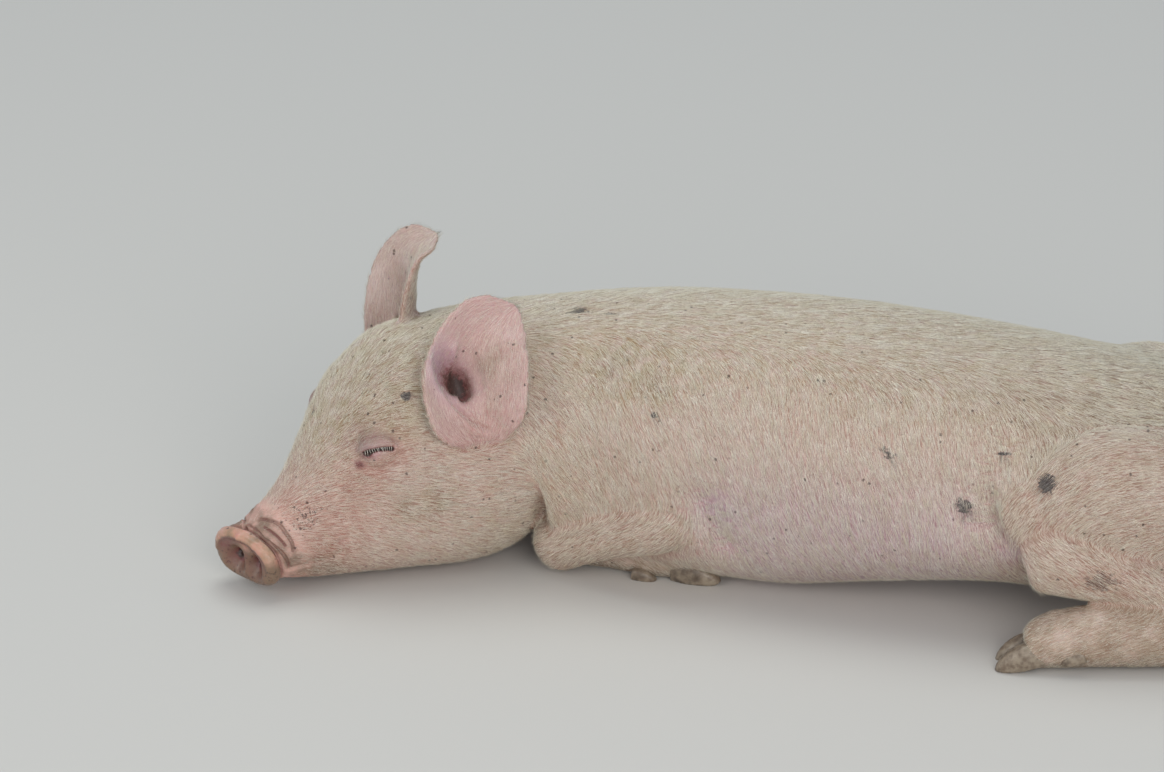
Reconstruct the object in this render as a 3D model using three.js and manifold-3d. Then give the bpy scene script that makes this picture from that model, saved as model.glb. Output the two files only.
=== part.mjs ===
// A young pink pig of about seven weeks, asleep on its chest, life size, as a still museum model.
// Millimetres, +Z up. The pig lies along X with its snout towards -X and its left side towards -Y.
// The body is parted where a person names its parts; every cut between them is a thin slot.

import * as THREE from 'three';
import Module from 'manifold-3d';
import { mergeVertices } from 'three/addons/utils/BufferGeometryUtils.js';

const wasm = await Module();
wasm.setup();

// ---------------------------------------------------------------- driving sizes

const SLOT = 0.3; // width of the cut between two neighbouring parts

// The trunk lies straight. Its frame is the middle of the belly on the floor: "along" counts forward
// to the head, "side" to the pig's left, and the whole trunk is turned a little, rump nearer -Y.
const TRUNK_TURN = -15; // degrees

const TRUNK_BOX = 2.25; // how square the trunk's sections are, 2 being an ellipse
const TRUNK_LEAN = -0.04; // how much they narrow towards the back

// Cross-sections of the trunk: place along, half width, height of back and belly.
const TRUNK_SECTIONS = [
  { along: -258, half: 12, top: 102, belly: 72 },
  { along: -252, half: 28, top: 112, belly: 50 },
  { along: -238, half: 46, top: 122, belly: 30 },
  { along: -210, half: 65, top: 133, belly: 18 },
  { along: -172, half: 77, top: 138, belly: 14 },
  { along: -115, half: 81, top: 143, belly: 13 },
  { along: -58, half: 82, top: 147, belly: 5 },
  { along: 0, half: 81, top: 149, belly: -5 },
  { along: 58, half: 78, top: 147, belly: -5 },
  { along: 100, half: 73, top: 143, belly: -2 },
];

// The head's frame: its origin is the middle of the snout disc, "back" counts towards the nape,
// "up" towards the forehead. The head is turned to the pig's left and rests on its chin.
const SNOUT_CENTRE = new THREE.Vector3(-305, -45, 21);
const HEAD_YAW = 27.5;
const HEAD_PITCH = 22.5;
const HEAD_ROLL = -5;

// Cross-sections of the head: distance behind the disc, half width, height above and depth below
// the line from the disc to the nape, squareness, and how much the section narrows upwards.
const HEAD_SECTIONS = [
  { back: 7, half: 18.5, up: 16.5, down: 18, box: 2.2, lean: -0.05 },
  { back: 16, half: 21, up: 19.5, down: 24, box: 2.3, lean: -0.1 },
  { back: 30, half: 24, up: 23, down: 32, box: 2.3, lean: -0.12 },
  { back: 46, half: 29, up: 31, down: 40, box: 2.4, lean: -0.1 },
  { back: 62, half: 36, up: 42, down: 48, box: 2.5, lean: -0.07 },
  { back: 78, half: 43.5, up: 52.5, down: 55, box: 2.6, lean: -0.04 },
  { back: 95, half: 50, up: 61.5, down: 63, box: 2.7, lean: -0.03 },
  { back: 115, half: 54, up: 66, down: 71, box: 2.7, lean: -0.04 },
  { back: 135, half: 59, up: 65, down: 74, box: 2.5, lean: -0.06 },
  { back: 155, half: 64, up: 60, down: 74, box: 2.3, lean: -0.06 },
];

// The neck bends between nape and shoulders: its one section of its own, half way.
const NECK_SECTION = {
  x: -141, y: 27, z: 72, yaw: -2, pitch: 9, roll: -2, half: 68, up: 67, down: 70, box: 2.2, lean: -0.05,
};

const BODY_SIDES = 22; // points round a section of trunk, neck and head
const LIMB_SIDES = 10; // points round a section of a leg or the tail

// ---------------------------------------------------------------- frames

/** Forward, left and up of a body part, from its yaw to the left, nose-down pitch and roll. */
function axesOf(yaw, pitch, roll) {
  const [a, b, c] = [yaw, pitch, roll].map((angle) => THREE.MathUtils.degToRad(angle));
  const forward = new THREE.Vector3(
    -Math.cos(a) * Math.cos(b),
    -Math.sin(a) * Math.cos(b),
    -Math.sin(b),
  );
  const flatLeft = new THREE.Vector3(Math.sin(a), -Math.cos(a), 0);
  const flatUp = new THREE.Vector3().crossVectors(forward, flatLeft);
  const left = flatLeft.clone().multiplyScalar(Math.cos(c)).addScaledVector(flatUp, -Math.sin(c));
  const up = flatUp.clone().multiplyScalar(Math.cos(c)).addScaledVector(flatLeft, Math.sin(c));
  return { forward, left, up };
}

const TRUNK_AXES = axesOf(TRUNK_TURN, 0, 0);
const HEAD_AXES = axesOf(HEAD_YAW, HEAD_PITCH, HEAD_ROLL);

/** A point in the trunk's frame; side is +1 for the left of the pig and -1 for its right. */
function trunkPoint(along, out, height, side = 1) {
  return new THREE.Vector3(0, 0, height)
    .addScaledVector(TRUNK_AXES.forward, along)
    .addScaledVector(TRUNK_AXES.left, out * side);
}

/** A point in the head's frame. */
function headPoint(back, left, up) {
  return SNOUT_CENTRE.clone()
    .addScaledVector(HEAD_AXES.forward, -back)
    .addScaledVector(HEAD_AXES.left, left)
    .addScaledVector(HEAD_AXES.up, up);
}

// ---------------------------------------------------------------- solids from rings

/** Turns vertices and triangles into a solid, facing outwards. */
function solid(vertices, triangles) {
  const sixfold = triangles.reduce((sum, [i, j, k]) => {
    const [a, b, c] = [vertices[i], vertices[j], vertices[k]];
    return sum + a.dot(new THREE.Vector3().crossVectors(b, c));
  }, 0);
  const facing = sixfold > 0 ? triangles : triangles.map(([i, j, k]) => [i, k, j]);
  return new wasm.Manifold(new wasm.Mesh({
    numProp: 3,
    vertProperties: new Float32Array(vertices.flatMap((v) => [v.x, v.y, v.z])),
    triVerts: new Uint32Array(facing.flat()),
  }));
}

/** Joins a row of rings of equal length into one solid, closed by a fan at each end. */
function loft(rings) {
  const count = rings[0].length;
  const vertices = rings.flat();
  const triangles = [];
  for (let r = 0; r + 1 < rings.length; r += 1) {
    for (let i = 0; i < count; i += 1) {
      const here = r * count + i;
      const next = r * count + ((i + 1) % count);
      triangles.push([here, next, next + count], [here, next + count, here + count]);
    }
  }
  for (const [first, flip] of [[0, true], [(rings.length - 1) * count, false]]) {
    const middle = new THREE.Vector3();
    for (let i = 0; i < count; i += 1) middle.addScaledVector(vertices[first + i], 1 / count);
    vertices.push(middle);
    for (let i = 0; i < count; i += 1) {
      const edge = [first + i, first + ((i + 1) % count)];
      triangles.push([...(flip ? edge.reverse() : edge), vertices.length - 1]);
    }
  }
  return solid(vertices, triangles);
}

/** A closed three.js geometry as a solid. */
function solidOf(geometry) {
  const bare = geometry.index ? geometry.toNonIndexed() : geometry.clone();
  bare.deleteAttribute('normal');
  bare.deleteAttribute('uv');
  const merged = mergeVertices(bare, 1e-4);
  return new wasm.Manifold(new wasm.Mesh({
    numProp: 3,
    vertProperties: new Float32Array(merged.attributes.position.array),
    triVerts: new Uint32Array(merged.index.array),
  }));
}

/** An ellipsoid whose three half sizes lie along the given axes. */
function ellipsoid(centre, axes, halfForward, halfLeft, halfUp, detail = 12) {
  const geometry = new THREE.SphereGeometry(1, detail * 2, detail);
  const place = new THREE.Matrix4().makeBasis(
    axes.forward.clone().multiplyScalar(-halfForward),
    axes.left.clone().multiplyScalar(-halfLeft),
    axes.up.clone().multiplyScalar(halfUp),
  );
  geometry.applyMatrix4(place.setPosition(centre));
  return solidOf(geometry);
}

/** The largest piece of a solid that cutting may have left in several. */
function largest(shape) {
  const pieces = shape.decompose();
  return pieces.reduce((best, piece) => (piece.volume() > best.volume() ? piece : best));
}

/** Cuts each of the others away from a solid. */
function without(shape, ...others) {
  return largest(others.reduce((rest, other) => rest.subtract(other), shape));
}

/** The solid below the floor, which leaves a small flat wherever a part would sink into it. */
const belowFloor = solidOf(new THREE.BoxGeometry(1200, 1200, 80).translate(0, 0, -40));

// ---------------------------------------------------------------- smooth tables

/** One number between the second and third of four, on a smooth curve through them all. */
function smooth(a, b, c, d, u) {
  const rise = (c - a) / 2;
  const fall = (d - b) / 2;
  const cubic = 2 * (b - c) + rise + fall;
  const square = 3 * (c - b) - 2 * rise - fall;
  return ((cubic * u + square) * u + rise) * u + b;
}

/** Every value of a table at a place between its rows: 0 is the first row, 1 the second. */
function rowAt(rows, place) {
  const last = rows.length - 1;
  const start = THREE.MathUtils.clamp(Math.floor(place), 0, last - 1);
  const [a, b, c, d] = [-1, 0, 1, 2].map((k) => rows[THREE.MathUtils.clamp(start + k, 0, last)]);
  const u = place - start;
  return Object.fromEntries(Object.keys(b).map((key) => [key, smooth(a[key], b[key], c[key], d[key], u)]));
}

/** A power of a sine or cosine that keeps its sign: the squarer the section, the smaller the power. */
function boxed(value, box) {
  return Math.sign(value) * Math.abs(value) ** (2 / box);
}

// ---------------------------------------------------------------- trunk, neck and head in one loft

const spine = [
  ...TRUNK_SECTIONS.map(({ along, half, top, belly }) => {
    const centre = trunkPoint(along, 0, (top + belly) / 2);
    const reach = (top - belly) / 2;
    const place = { x: centre.x, y: centre.y, z: centre.z, yaw: TRUNK_TURN, pitch: 0, roll: 0 };
    return { ...place, half, up: reach, down: reach, box: TRUNK_BOX, lean: TRUNK_LEAN };
  }),
  NECK_SECTION,
  ...[...HEAD_SECTIONS].reverse().map(({ back, half, up, down, box, lean }) => {
    const centre = headPoint(back, 0, 0);
    const turn = { yaw: HEAD_YAW, pitch: HEAD_PITCH, roll: HEAD_ROLL };
    return { x: centre.x, y: centre.y, z: centre.z, ...turn, half, up, down, box, lean };
  }),
];
const SHOULDER = TRUNK_SECTIONS.length - 1; // places in the spine where the parts meet
const NAPE = SHOULDER + 2;
const SNOUT_ROOT = spine.length - 1;

/** One ring of the body at a place in the spine, made bigger all round by grow. */
function bodyRing(place, grow) {
  const row = rowAt(spine, place);
  const { left, up } = axesOf(row.yaw, row.pitch, row.roll);
  return Array.from({ length: BODY_SIDES }, (_, i) => {
    const angle = (i / BODY_SIDES) * 2 * Math.PI;
    const high = boxed(Math.sin(angle), row.box);
    const wide = boxed(Math.cos(angle), row.box) * (1 + row.lean * high);
    return new THREE.Vector3(row.x, row.y, row.z)
      .addScaledVector(left, wide * (row.half + grow))
      .addScaledVector(up, high * ((high > 0 ? row.up : row.down) + grow));
  });
}

/** Evenly spaced places in the spine, both ends included. */
function stops(from, to, steps) {
  return Array.from({ length: steps + 1 }, (_, i) => from + ((to - from) * i) / steps);
}

/** The stretch of the body through the given places in the spine. */
function bodyStretch(places, grow = 0) {
  return loft(places.map((place) => bodyRing(place, grow)));
}

/** The place a slot's width further along the spine. */
function pastSlot(place) {
  const step = 0.01;
  const here = rowAt(spine, place);
  const there = rowAt(spine, place + step);
  return place + (step * SLOT) / Math.hypot(there.x - here.x, there.y - here.y, there.z - here.z);
}

// ---------------------------------------------------------------- limbs

/**
 * A limb as a loft along a smooth path through its stations, with a round start and a round or flat
 * end. A station gives a centre, the half size along the lateral direction and the one across it.
 */
function limb(stations, lateral, { grow = 0, roundEnd = true } = {}) {
  const path = new THREE.CatmullRomCurve3(stations.map(({ centre }) => centre), false, 'centripetal');
  const last = stations.length - 1;
  const ring = (place, shrink, push) => {
    const { wide, deep } = stations[place];
    const middle = path.getPoint(place / last);
    const tangent = path.getTangent(place / last);
    const across = new THREE.Vector3().crossVectors(tangent, lateral).normalize();
    const aside = new THREE.Vector3().crossVectors(across, tangent).normalize();
    return Array.from({ length: LIMB_SIDES }, (_, i) => {
      const angle = (i / LIMB_SIDES) * 2 * Math.PI;
      return middle.clone()
        .addScaledVector(tangent, push * (Math.min(wide, deep) + grow))
        .addScaledVector(aside, Math.cos(angle) * (wide + grow) * shrink)
        .addScaledVector(across, Math.sin(angle) * (deep + grow) * shrink);
    });
  };
  const cap = (place, way) => [70, 35].map((angle) => {
    const turn = THREE.MathUtils.degToRad(angle);
    return ring(place, Math.cos(turn), way * Math.sin(turn));
  });
  const middle = stations.map((_, i) => ring(i, 1, 0));
  return loft([...cap(0, -1), ...middle, ...(roundEnd ? cap(last, 1).reverse() : [])]);
}

// The folded legs, in the trunk's frame: along, out to the side, height, half width, half depth.
const LEGS = {
  foreleg: {
    upper: [[102, 37, 96, 26, 35], [80, 46, 76, 25, 34], [58, 53, 54, 20, 24]],
    lower: [[52, 66, 47, 15, 17], [68, 65, 41, 15.5, 18], [88, 62, 34, 15, 17],
      [106, 59, 26, 14.5, 16.5], [122, 55, 19, 15.5, 18]],
    foot: [[115, 42, 13, 13, 13.5], [98, 41, 11.5, 12.5, 12.5], [76, 41, 10, 13.5, 12],
      [54, 41, 8.5, 13, 10.5]],
  },
  hindleg: {
    upper: [[-234, 37, 74, 29, 38], [-210, 45, 79, 35, 46], [-180, 56, 80, 34, 46],
      [-152, 70, 73, 20, 28]],
    lower: [[-160, 80, 59, 18, 22], [-176, 80, 56, 17, 20], [-198, 77, 51, 15, 17],
      [-220, 73, 43, 13, 15], [-240, 69, 35, 12.5, 14]],
    foot: [[-242, 72, 20, 15.5, 20.5], [-218, 79, 20, 15.5, 20], [-195, 85, 19, 15.5, 19],
      [-172, 90, 16, 15.5, 17], [-155, 94, 11, 13.5, 13]],
  },
};

const UPPER_REACH = 8; // how far an upper leg's muscles spread into the trunk around its own shape
const UPPER_OUT = 60; // how much further out the room for them reaches

/**
 * One section of one leg, side +1 for the left leg and -1 for the right one. Its outer side can be
 * moved further outward while its inner side stays.
 */
function legPart(leg, section, side, grow = 0, outward = 0) {
  const stations = LEGS[leg][section].map(([along, out, height, wide, deep]) => ({
    centre: trunkPoint(along, out + outward / 2, height, side), wide: wide + outward / 2, deep,
  }));
  return limb(stations, TRUNK_AXES.left, { grow, roundEnd: section !== 'foot' });
}

/** The room an upper leg takes in the body, reaching outward so that it meets the skin squarely. */
function upperRoom(leg, side, grow) {
  return legPart(leg, 'upper', side, grow, UPPER_OUT);
}

// ---------------------------------------------------------------- claws

// A main claw and a dewclaw: length, half width and half height at the coronet.
const CLAWS = {
  main: { length: 22, half: 6.4, tall: 8 },
  dew: { length: 11, half: 4, tall: 4.5 },
};
const CLAW_SIDES = 6;

/**
 * A claw from its coronet forward, drawn in to a blunt tip. A grown one is longer still at both
 * ends, so that the room it takes runs into the room of its foot.
 */
function claw(kind, root, forward, up, grow = 0) {
  const { length, half, tall } = CLAWS[kind];
  const left = new THREE.Vector3().crossVectors(up, forward).normalize();
  const sections = [[0, 0.95], [0.35, 1], [0.75, 0.78], [1, 0.34]];
  return loft(sections.map(([share, size]) => Array.from({ length: CLAW_SIDES }, (_, i) => {
    const angle = ((i + 0.5) / CLAW_SIDES) * 2 * Math.PI;
    const height = tall * (size - share * 0.25);
    return root.clone()
      .addScaledVector(forward, share * length + (share * 2 - 1) * grow * 3)
      .addScaledVector(left, Math.cos(angle) * (half * size + grow))
      .addScaledVector(up, Math.sin(angle) * (height + grow) - tall * 0.35 * share * share);
  })));
}

// Where the claws of a foot sit, from the middle of its flat end: sideways, along the foot and up.
const CLAW_PLACES = {
  outer: { kind: 'main', aside: 6.9, ahead: SLOT, rise: -2 },
  inner: { kind: 'main', aside: -6.9, ahead: SLOT, rise: -2 },
  outer_dew: { kind: 'dew', aside: 11, ahead: -24, rise: -7.5 },
  inner_dew: { kind: 'dew', aside: -11, ahead: -24, rise: -7.5 },
};

// ---------------------------------------------------------------- ears

/**
 * An ear: a leaf along a path of head points, curled about the path towards its opening. Rows give
 * half width, half angle of the curl and thickness from the base to the tip.
 */
function ear({ path, opening, rows }, side) {
  const points = path.map(([back, left, up]) => headPoint(back, left * side, up));
  const curve = new THREE.CatmullRomCurve3(points, false, 'centripetal');
  const [towards, leftwards, upwards] = opening;
  const facing = new THREE.Vector3()
    .addScaledVector(HEAD_AXES.forward, towards)
    .addScaledVector(HEAD_AXES.left, leftwards * side)
    .addScaledVector(HEAD_AXES.up, upwards);
  const [lengthSteps, widthSteps] = [7, 5];
  const section = (k) => {
    const share = k / lengthSteps;
    const { half, curl, thick } = rowAt(rows, share * (rows.length - 1));
    const tangent = curve.getTangent(share);
    const across = new THREE.Vector3().crossVectors(tangent, facing).normalize();
    const inward = new THREE.Vector3().crossVectors(across, tangent).normalize();
    const angle = THREE.MathUtils.degToRad(curl);
    const radius = half / angle;
    const arc = (offset, i) => {
      const turn = ((2 * i) / widthSteps - 1) * angle;
      const rim = 1 - 0.6 * Math.abs((2 * i) / widthSteps - 1) ** 4;
      const reach = radius + (offset * thick * rim) / 2;
      return curve.getPoint(share)
        .addScaledVector(inward, radius - reach * Math.cos(turn))
        .addScaledVector(across, reach * Math.sin(turn));
    };
    const outside = Array.from({ length: widthSteps + 1 }, (_, i) => arc(1, i));
    const inside = Array.from({ length: widthSteps + 1 }, (_, i) => arc(-1, widthSteps - i));
    return [...outside, ...inside];
  };
  const sections = Array.from({ length: lengthSteps + 1 }, (_, k) => section(k));
  return leaf(sections);
}

/** A thin leaf from rows of an outside and an inside edge to edge, closed in strips at both ends. */
function leaf(sections) {
  const count = sections[0].length;
  const vertices = sections.flat();
  const triangles = [];
  for (let r = 0; r + 1 < sections.length; r += 1) {
    for (let i = 0; i < count; i += 1) {
      const here = r * count + i;
      const next = r * count + ((i + 1) % count);
      triangles.push([here, next, next + count], [here, next + count, here + count]);
    }
  }
  for (const [first, flip] of [[0, true], [(sections.length - 1) * count, false]]) {
    for (let i = 0; i + 1 < count / 2; i += 1) {
      const quad = [first + i, first + i + 1, first + count - 2 - i, first + count - 1 - i];
      const [a, b, c, d] = flip ? quad.reverse() : quad;
      triangles.push([a, b, c], [a, c, d]);
    }
  }
  return solid(vertices, triangles);
}

// The left ear is laid back along the neck and open to the side; the right one stands, its tip
// folded back. Points are back, left and up in the head's frame, for the left side of the head.
const EARS = {
  left: {
    path: [[141, 58, 12], [144, 57, 29], [154, 50, 46], [171, 43, 58], [191, 38, 61]],
    opening: [0.15, 0.8, 0.55],
    root: [142, 40, 38],
    rows: [
      { half: 11, curl: 45, thick: 4 },
      { half: 29, curl: 55, thick: 4 },
      { half: 32, curl: 50, thick: 3.6 },
      { half: 29, curl: 42, thick: 3.2 },
      { half: 22, curl: 30, thick: 2.8 },
      { half: 8, curl: 20, thick: 2.4 },
    ],
  },
  right: {
    path: [[140, 34, 30], [149, 36, 54], [160, 36, 74], [171, 35, 86], [185, 33, 87]],
    opening: [0.91, -0.08, 0.37],
    root: [145, 36, 42],
    rows: [
      { half: 29, curl: 78, thick: 5 },
      { half: 28, curl: 70, thick: 4 },
      { half: 26, curl: 62, thick: 3.6 },
      { half: 22, curl: 55, thick: 3.2 },
      { half: 15, curl: 42, thick: 2.8 },
      { half: 6, curl: 25, thick: 2.4 },
    ],
  },
};
const EAR_ROOT = { along: 13, out: 10, tall: 14 }; // half sizes of the muscle that carries an ear

// ---------------------------------------------------------------- snout and eyes

// The snout disc is pushed round by the floor: it faces a little higher than the head and much more
// to the left. Sections: distance in front of its middle, half width, height above and depth below.
const SNOUT_AXES = axesOf(HEAD_YAW + 21.5, HEAD_PITCH - 7, HEAD_ROLL + 7);
const DISC_CENTRE = headPoint(3.2, -0.5, -1.2);
const SNOUT_SECTIONS = [
  { front: -14, half: 16.5, up: 15.5, down: 13.5 },
  { front: -7, half: 18.8, up: 16.8, down: 14.5 },
  { front: -3, half: 20.6, up: 16.8, down: 15.2 },
  { front: 0, half: 22.6, up: 18, down: 16.2 },
  { front: 3, half: 23, up: 18, down: 16.2 },
  { front: 5.5, half: 20.5, up: 15.5, down: 14 },
];
const SNOUT_SIDES = 20;
const NOSTRIL = { aside: 7, up: -2.2, half: 3.2, tall: 4, deep: 9 };

/** A point in the frame of the snout disc. */
function snoutPoint(front, left, up) {
  return DISC_CENTRE.clone()
    .addScaledVector(SNOUT_AXES.forward, front)
    .addScaledVector(SNOUT_AXES.left, left)
    .addScaledVector(SNOUT_AXES.up, up);
}

/** The snout disc and the stem that carries it, made bigger all round by grow. */
function snoutDisc(grow = 0) {
  return loft(SNOUT_SECTIONS.map(({ front, half, up, down }) => (
    Array.from({ length: SNOUT_SIDES }, (_, i) => {
      const angle = (i / SNOUT_SIDES) * 2 * Math.PI;
      const high = boxed(Math.sin(angle), 2.3);
      const wide = boxed(Math.cos(angle), 2.3);
      const fore = front + (front < 0 ? -grow : grow);
      return snoutPoint(fore, (half + grow) * wide, high * ((high > 0 ? up : down) + grow));
    })
  )));
}

/** One nostril, a pit in the face of the disc. */
function nostril(side) {
  const mouth = snoutPoint(3, NOSTRIL.aside * side, NOSTRIL.up);
  return ellipsoid(mouth, SNOUT_AXES, NOSTRIL.deep, NOSTRIL.half, NOSTRIL.tall, 4);
}

// An eye: middle of the eyeball in the head's frame, its radius, the swelling of the closed lids
// over it and the slit between them. The slit runs back, outwards and a little down.
const EYE = { back: 89, out: 35, up: 31, radius: 10.5 };
const LIDS = { along: 15, out: 5.5, tall: 9.5, stand: 6.2 };
const LID_SLIT = { along: 9, deep: 8, tall: 0.7, below: 4.5 };
const EYE_SLIT_RUN = { back: 16, out: 5, up: -5 };
const EYE_FACING = { back: -0.2, out: 0.84, up: 0.5 };

/** The axes of an eye: forward along its slit, left out of the head, up across the lids. */
function eyeAxes(side) {
  const direction = ({ back, out, up }) => new THREE.Vector3()
    .addScaledVector(HEAD_AXES.forward, -back)
    .addScaledVector(HEAD_AXES.left, out * side)
    .addScaledVector(HEAD_AXES.up, up)
    .normalize();
  const along = direction(EYE_SLIT_RUN);
  const up = new THREE.Vector3().crossVectors(along, direction(EYE_FACING));
  up.multiplyScalar(side).normalize();
  return { forward: along, left: new THREE.Vector3().crossVectors(up, along), up };
}

/** An ellipsoid at an eye, its middle so far out of the eyeball's middle and so far up. */
function eyeEllipsoid(side, out, up, halfAlong, halfOut, halfTall) {
  const axes = eyeAxes(side);
  const centre = headPoint(EYE.back, EYE.out * side, EYE.up)
    .addScaledVector(axes.left, out * side)
    .addScaledVector(axes.up, up);
  return ellipsoid(centre, axes, halfAlong, halfOut, halfTall, 5);
}

/** The eyeball behind its closed lids. */
function eyeball(side, grow = 0) {
  const radius = EYE.radius + grow;
  return eyeEllipsoid(side, 0, 0, radius, radius, radius);
}

/** The swelling of the two closed lids over the eyeball. */
function lids(side) {
  return eyeEllipsoid(side, LIDS.stand, 0, LIDS.along, LIDS.out, LIDS.tall);
}

/** The slit that is left open between the lids. */
function lidSlit(side) {
  return eyeEllipsoid(side, EYE.radius, -LID_SLIT.below, LID_SLIT.along, LID_SLIT.deep, LID_SLIT.tall);
}

// ---------------------------------------------------------------- tail

// The tail hangs limp down the rump and ends in half a curl: along, out, height, half thickness.
const TAIL = [
  [-246, 0, 106, 9], [-263, -1, 101, 7.5], [-275, -4, 82, 5.6], [-277, -10, 60, 4.6],
  [-281, -21, 47, 3.8], [-288, -32, 49, 3.1], [-292, -37, 59, 2.3],
];

/** The tail as a limb of its own. */
function tail(grow = 0) {
  const stations = TAIL.map(([along, out, height, half]) => ({
    centre: trunkPoint(along, out, height), wide: half, deep: half,
  }));
  return limb(stations, TRUNK_AXES.left, { grow });
}

// ---------------------------------------------------------------- materials

/** A new material of its own for one mesh. */
function surface(colour, roughness) {
  return new THREE.MeshStandardMaterial({ color: colour, roughness, metalness: 0 });
}

const hairySkin = () => surface(0xe3c0ac, 0.75);
const earSkin = () => surface(0xe0a398, 0.7);
const bareSkin = () => surface(0xcf8a72, 0.5);
const horn = () => surface(0x8c7460, 0.55);
const wetEye = () => surface(0x1c1613, 0.15);

// ---------------------------------------------------------------- assembly

const pig = new THREE.Group();

/** Adds a finished solid to the pig as a named mesh. */
function add(name, shape, material) {
  const mesh = shape.getMesh();
  const geometry = new THREE.BufferGeometry();
  geometry.setAttribute('position', new THREE.BufferAttribute(new Float32Array(mesh.vertProperties), 3));
  geometry.setIndex(new THREE.BufferAttribute(new Uint32Array(mesh.triVerts), 1));
  geometry.computeVertexNormals();
  const part = new THREE.Mesh(geometry, material);
  part.name = name;
  pig.add(part);
}

const SIDES = [['left', 1], ['right', -1]];
const trunkStops = stops(0, SHOULDER, 10);
const neckStops = stops(SHOULDER, NAPE, 3);
const headStops = stops(NAPE, SNOUT_ROOT, 10);
const trunkWhole = bodyStretch(trunkStops);
const neckWhole = bodyStretch([pastSlot(SHOULDER), ...neckStops.slice(1)]);
const headWhole = bodyStretch([pastSlot(NAPE), ...headStops.slice(1)]);
const besideHead = bodyStretch(headStops, SLOT);
const besideNeck = bodyStretch(neckStops, SLOT);
const bodyWhole = bodyStretch([...trunkStops, ...neckStops.slice(1)]);
const limbCuts = [];
const shoulderCuts = [];

/** The claws of one foot as placed solids, each as [name, solid, the same grown by the slot]. */
function clawsOf(leg, side) {
  const [before, end] = LEGS[leg].foot.slice(-2)
    .map(([along, out, height]) => trunkPoint(along, out, height, side));
  const forward = end.clone().sub(before).normalize();
  const up = new THREE.Vector3().crossVectors(forward, TRUNK_AXES.left);
  up.multiplyScalar(Math.sign(up.z)).normalize();
  const outward = TRUNK_AXES.left.clone().projectOnPlane(forward).normalize().multiplyScalar(side);
  return Object.entries(CLAW_PLACES).map(([place, { kind, aside, ahead, rise }]) => {
    const root = end.clone()
      .addScaledVector(outward, aside)
      .addScaledVector(forward, ahead)
      .addScaledVector(up, rise);
    return [place, claw(kind, root, forward, up), claw(kind, root, forward, up, SLOT)];
  });
}

for (const leg of Object.keys(LEGS)) {
  for (const [sideName, side] of SIDES) {
    const name = `${leg}_${sideName}`;
    const claws = clawsOf(leg, side);
    const footCut = legPart(leg, 'foot', side, SLOT);
    claws.forEach(([place, shape]) => {
      const cuts = CLAW_PLACES[place].kind === 'main' ? [footCut, belowFloor] : [belowFloor];
      add(`${name}_claw_${place}`, without(shape, ...cuts), horn());
    });
    const clawCuts = claws.map(([, , grown]) => grown);
    const dewCuts = clawCuts.filter((_, i) => CLAW_PLACES[claws[i][0]].kind === 'dew');
    const lowerCut = legPart(leg, 'lower', side, SLOT);
    const muscles = bodyWhole.add(legPart(leg, 'upper', side))
      .intersect(upperRoom(leg, side, UPPER_REACH));
    add(`${name}_foot`, without(legPart(leg, 'foot', side), ...dewCuts, belowFloor), hairySkin());
    add(`${name}_lower`, without(legPart(leg, 'lower', side), footCut, belowFloor), hairySkin());
    add(`${name}_upper`, without(muscles, footCut, lowerCut, besideHead, belowFloor), hairySkin());
    limbCuts.push(...clawCuts, footCut, lowerCut);
    shoulderCuts.push(upperRoom(leg, side, UPPER_REACH + SLOT));
  }
}

add('tail', tail(), hairySkin());
add('trunk', without(trunkWhole, ...limbCuts, ...shoulderCuts, tail(SLOT), belowFloor), hairySkin());
add('neck', without(neckWhole, ...limbCuts, ...shoulderCuts, belowFloor), hairySkin());

let skull = headWhole;
for (const [sideName, side] of SIDES) {
  const { root } = EARS[sideName];
  const rootCentre = headPoint(root[0], root[1] * side, root[2]);
  const muscle = ellipsoid(rootCentre, HEAD_AXES, EAR_ROOT.along, EAR_ROOT.out, EAR_ROOT.tall, 4);
  const leafAndMuscle = ear(EARS[sideName], side).add(muscle);
  add(`ear_${sideName}`, without(leafAndMuscle, besideHead, besideNeck), earSkin());
  add(`eye_${sideName}`, eyeball(side), wetEye());
  skull = skull.add(lids(side)).subtract(eyeball(side, SLOT)).subtract(lidSlit(side));
}
add('head', without(skull, snoutDisc(SLOT), ...limbCuts, belowFloor), hairySkin());
add('snout', without(snoutDisc(), nostril(1), nostril(-1), belowFloor), bareSkin());

// The origin is the middle of the pig's box on the floor.
const box = new THREE.Box3().setFromObject(pig);
pig.position.set(-(box.min.x + box.max.x) / 2, -(box.min.y + box.max.y) / 2, -box.min.z);

export default pig;
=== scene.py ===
# %% [markdown]
# # A young pig asleep on its chest
# The frame holds the pig as plain solids: head, neck, trunk, legs, ears and the rest. This lesson
# gives it one skin without seams, sculpted lids, nostrils, wrinkles and folds, a coat of fine white
# hair that lies the way a pig's does, horn claws and wet eyes. Lengths in the tables are millimetres.

import math

import bpy
import numpy as np
from mathutils import Matrix, Vector, kdtree


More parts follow.
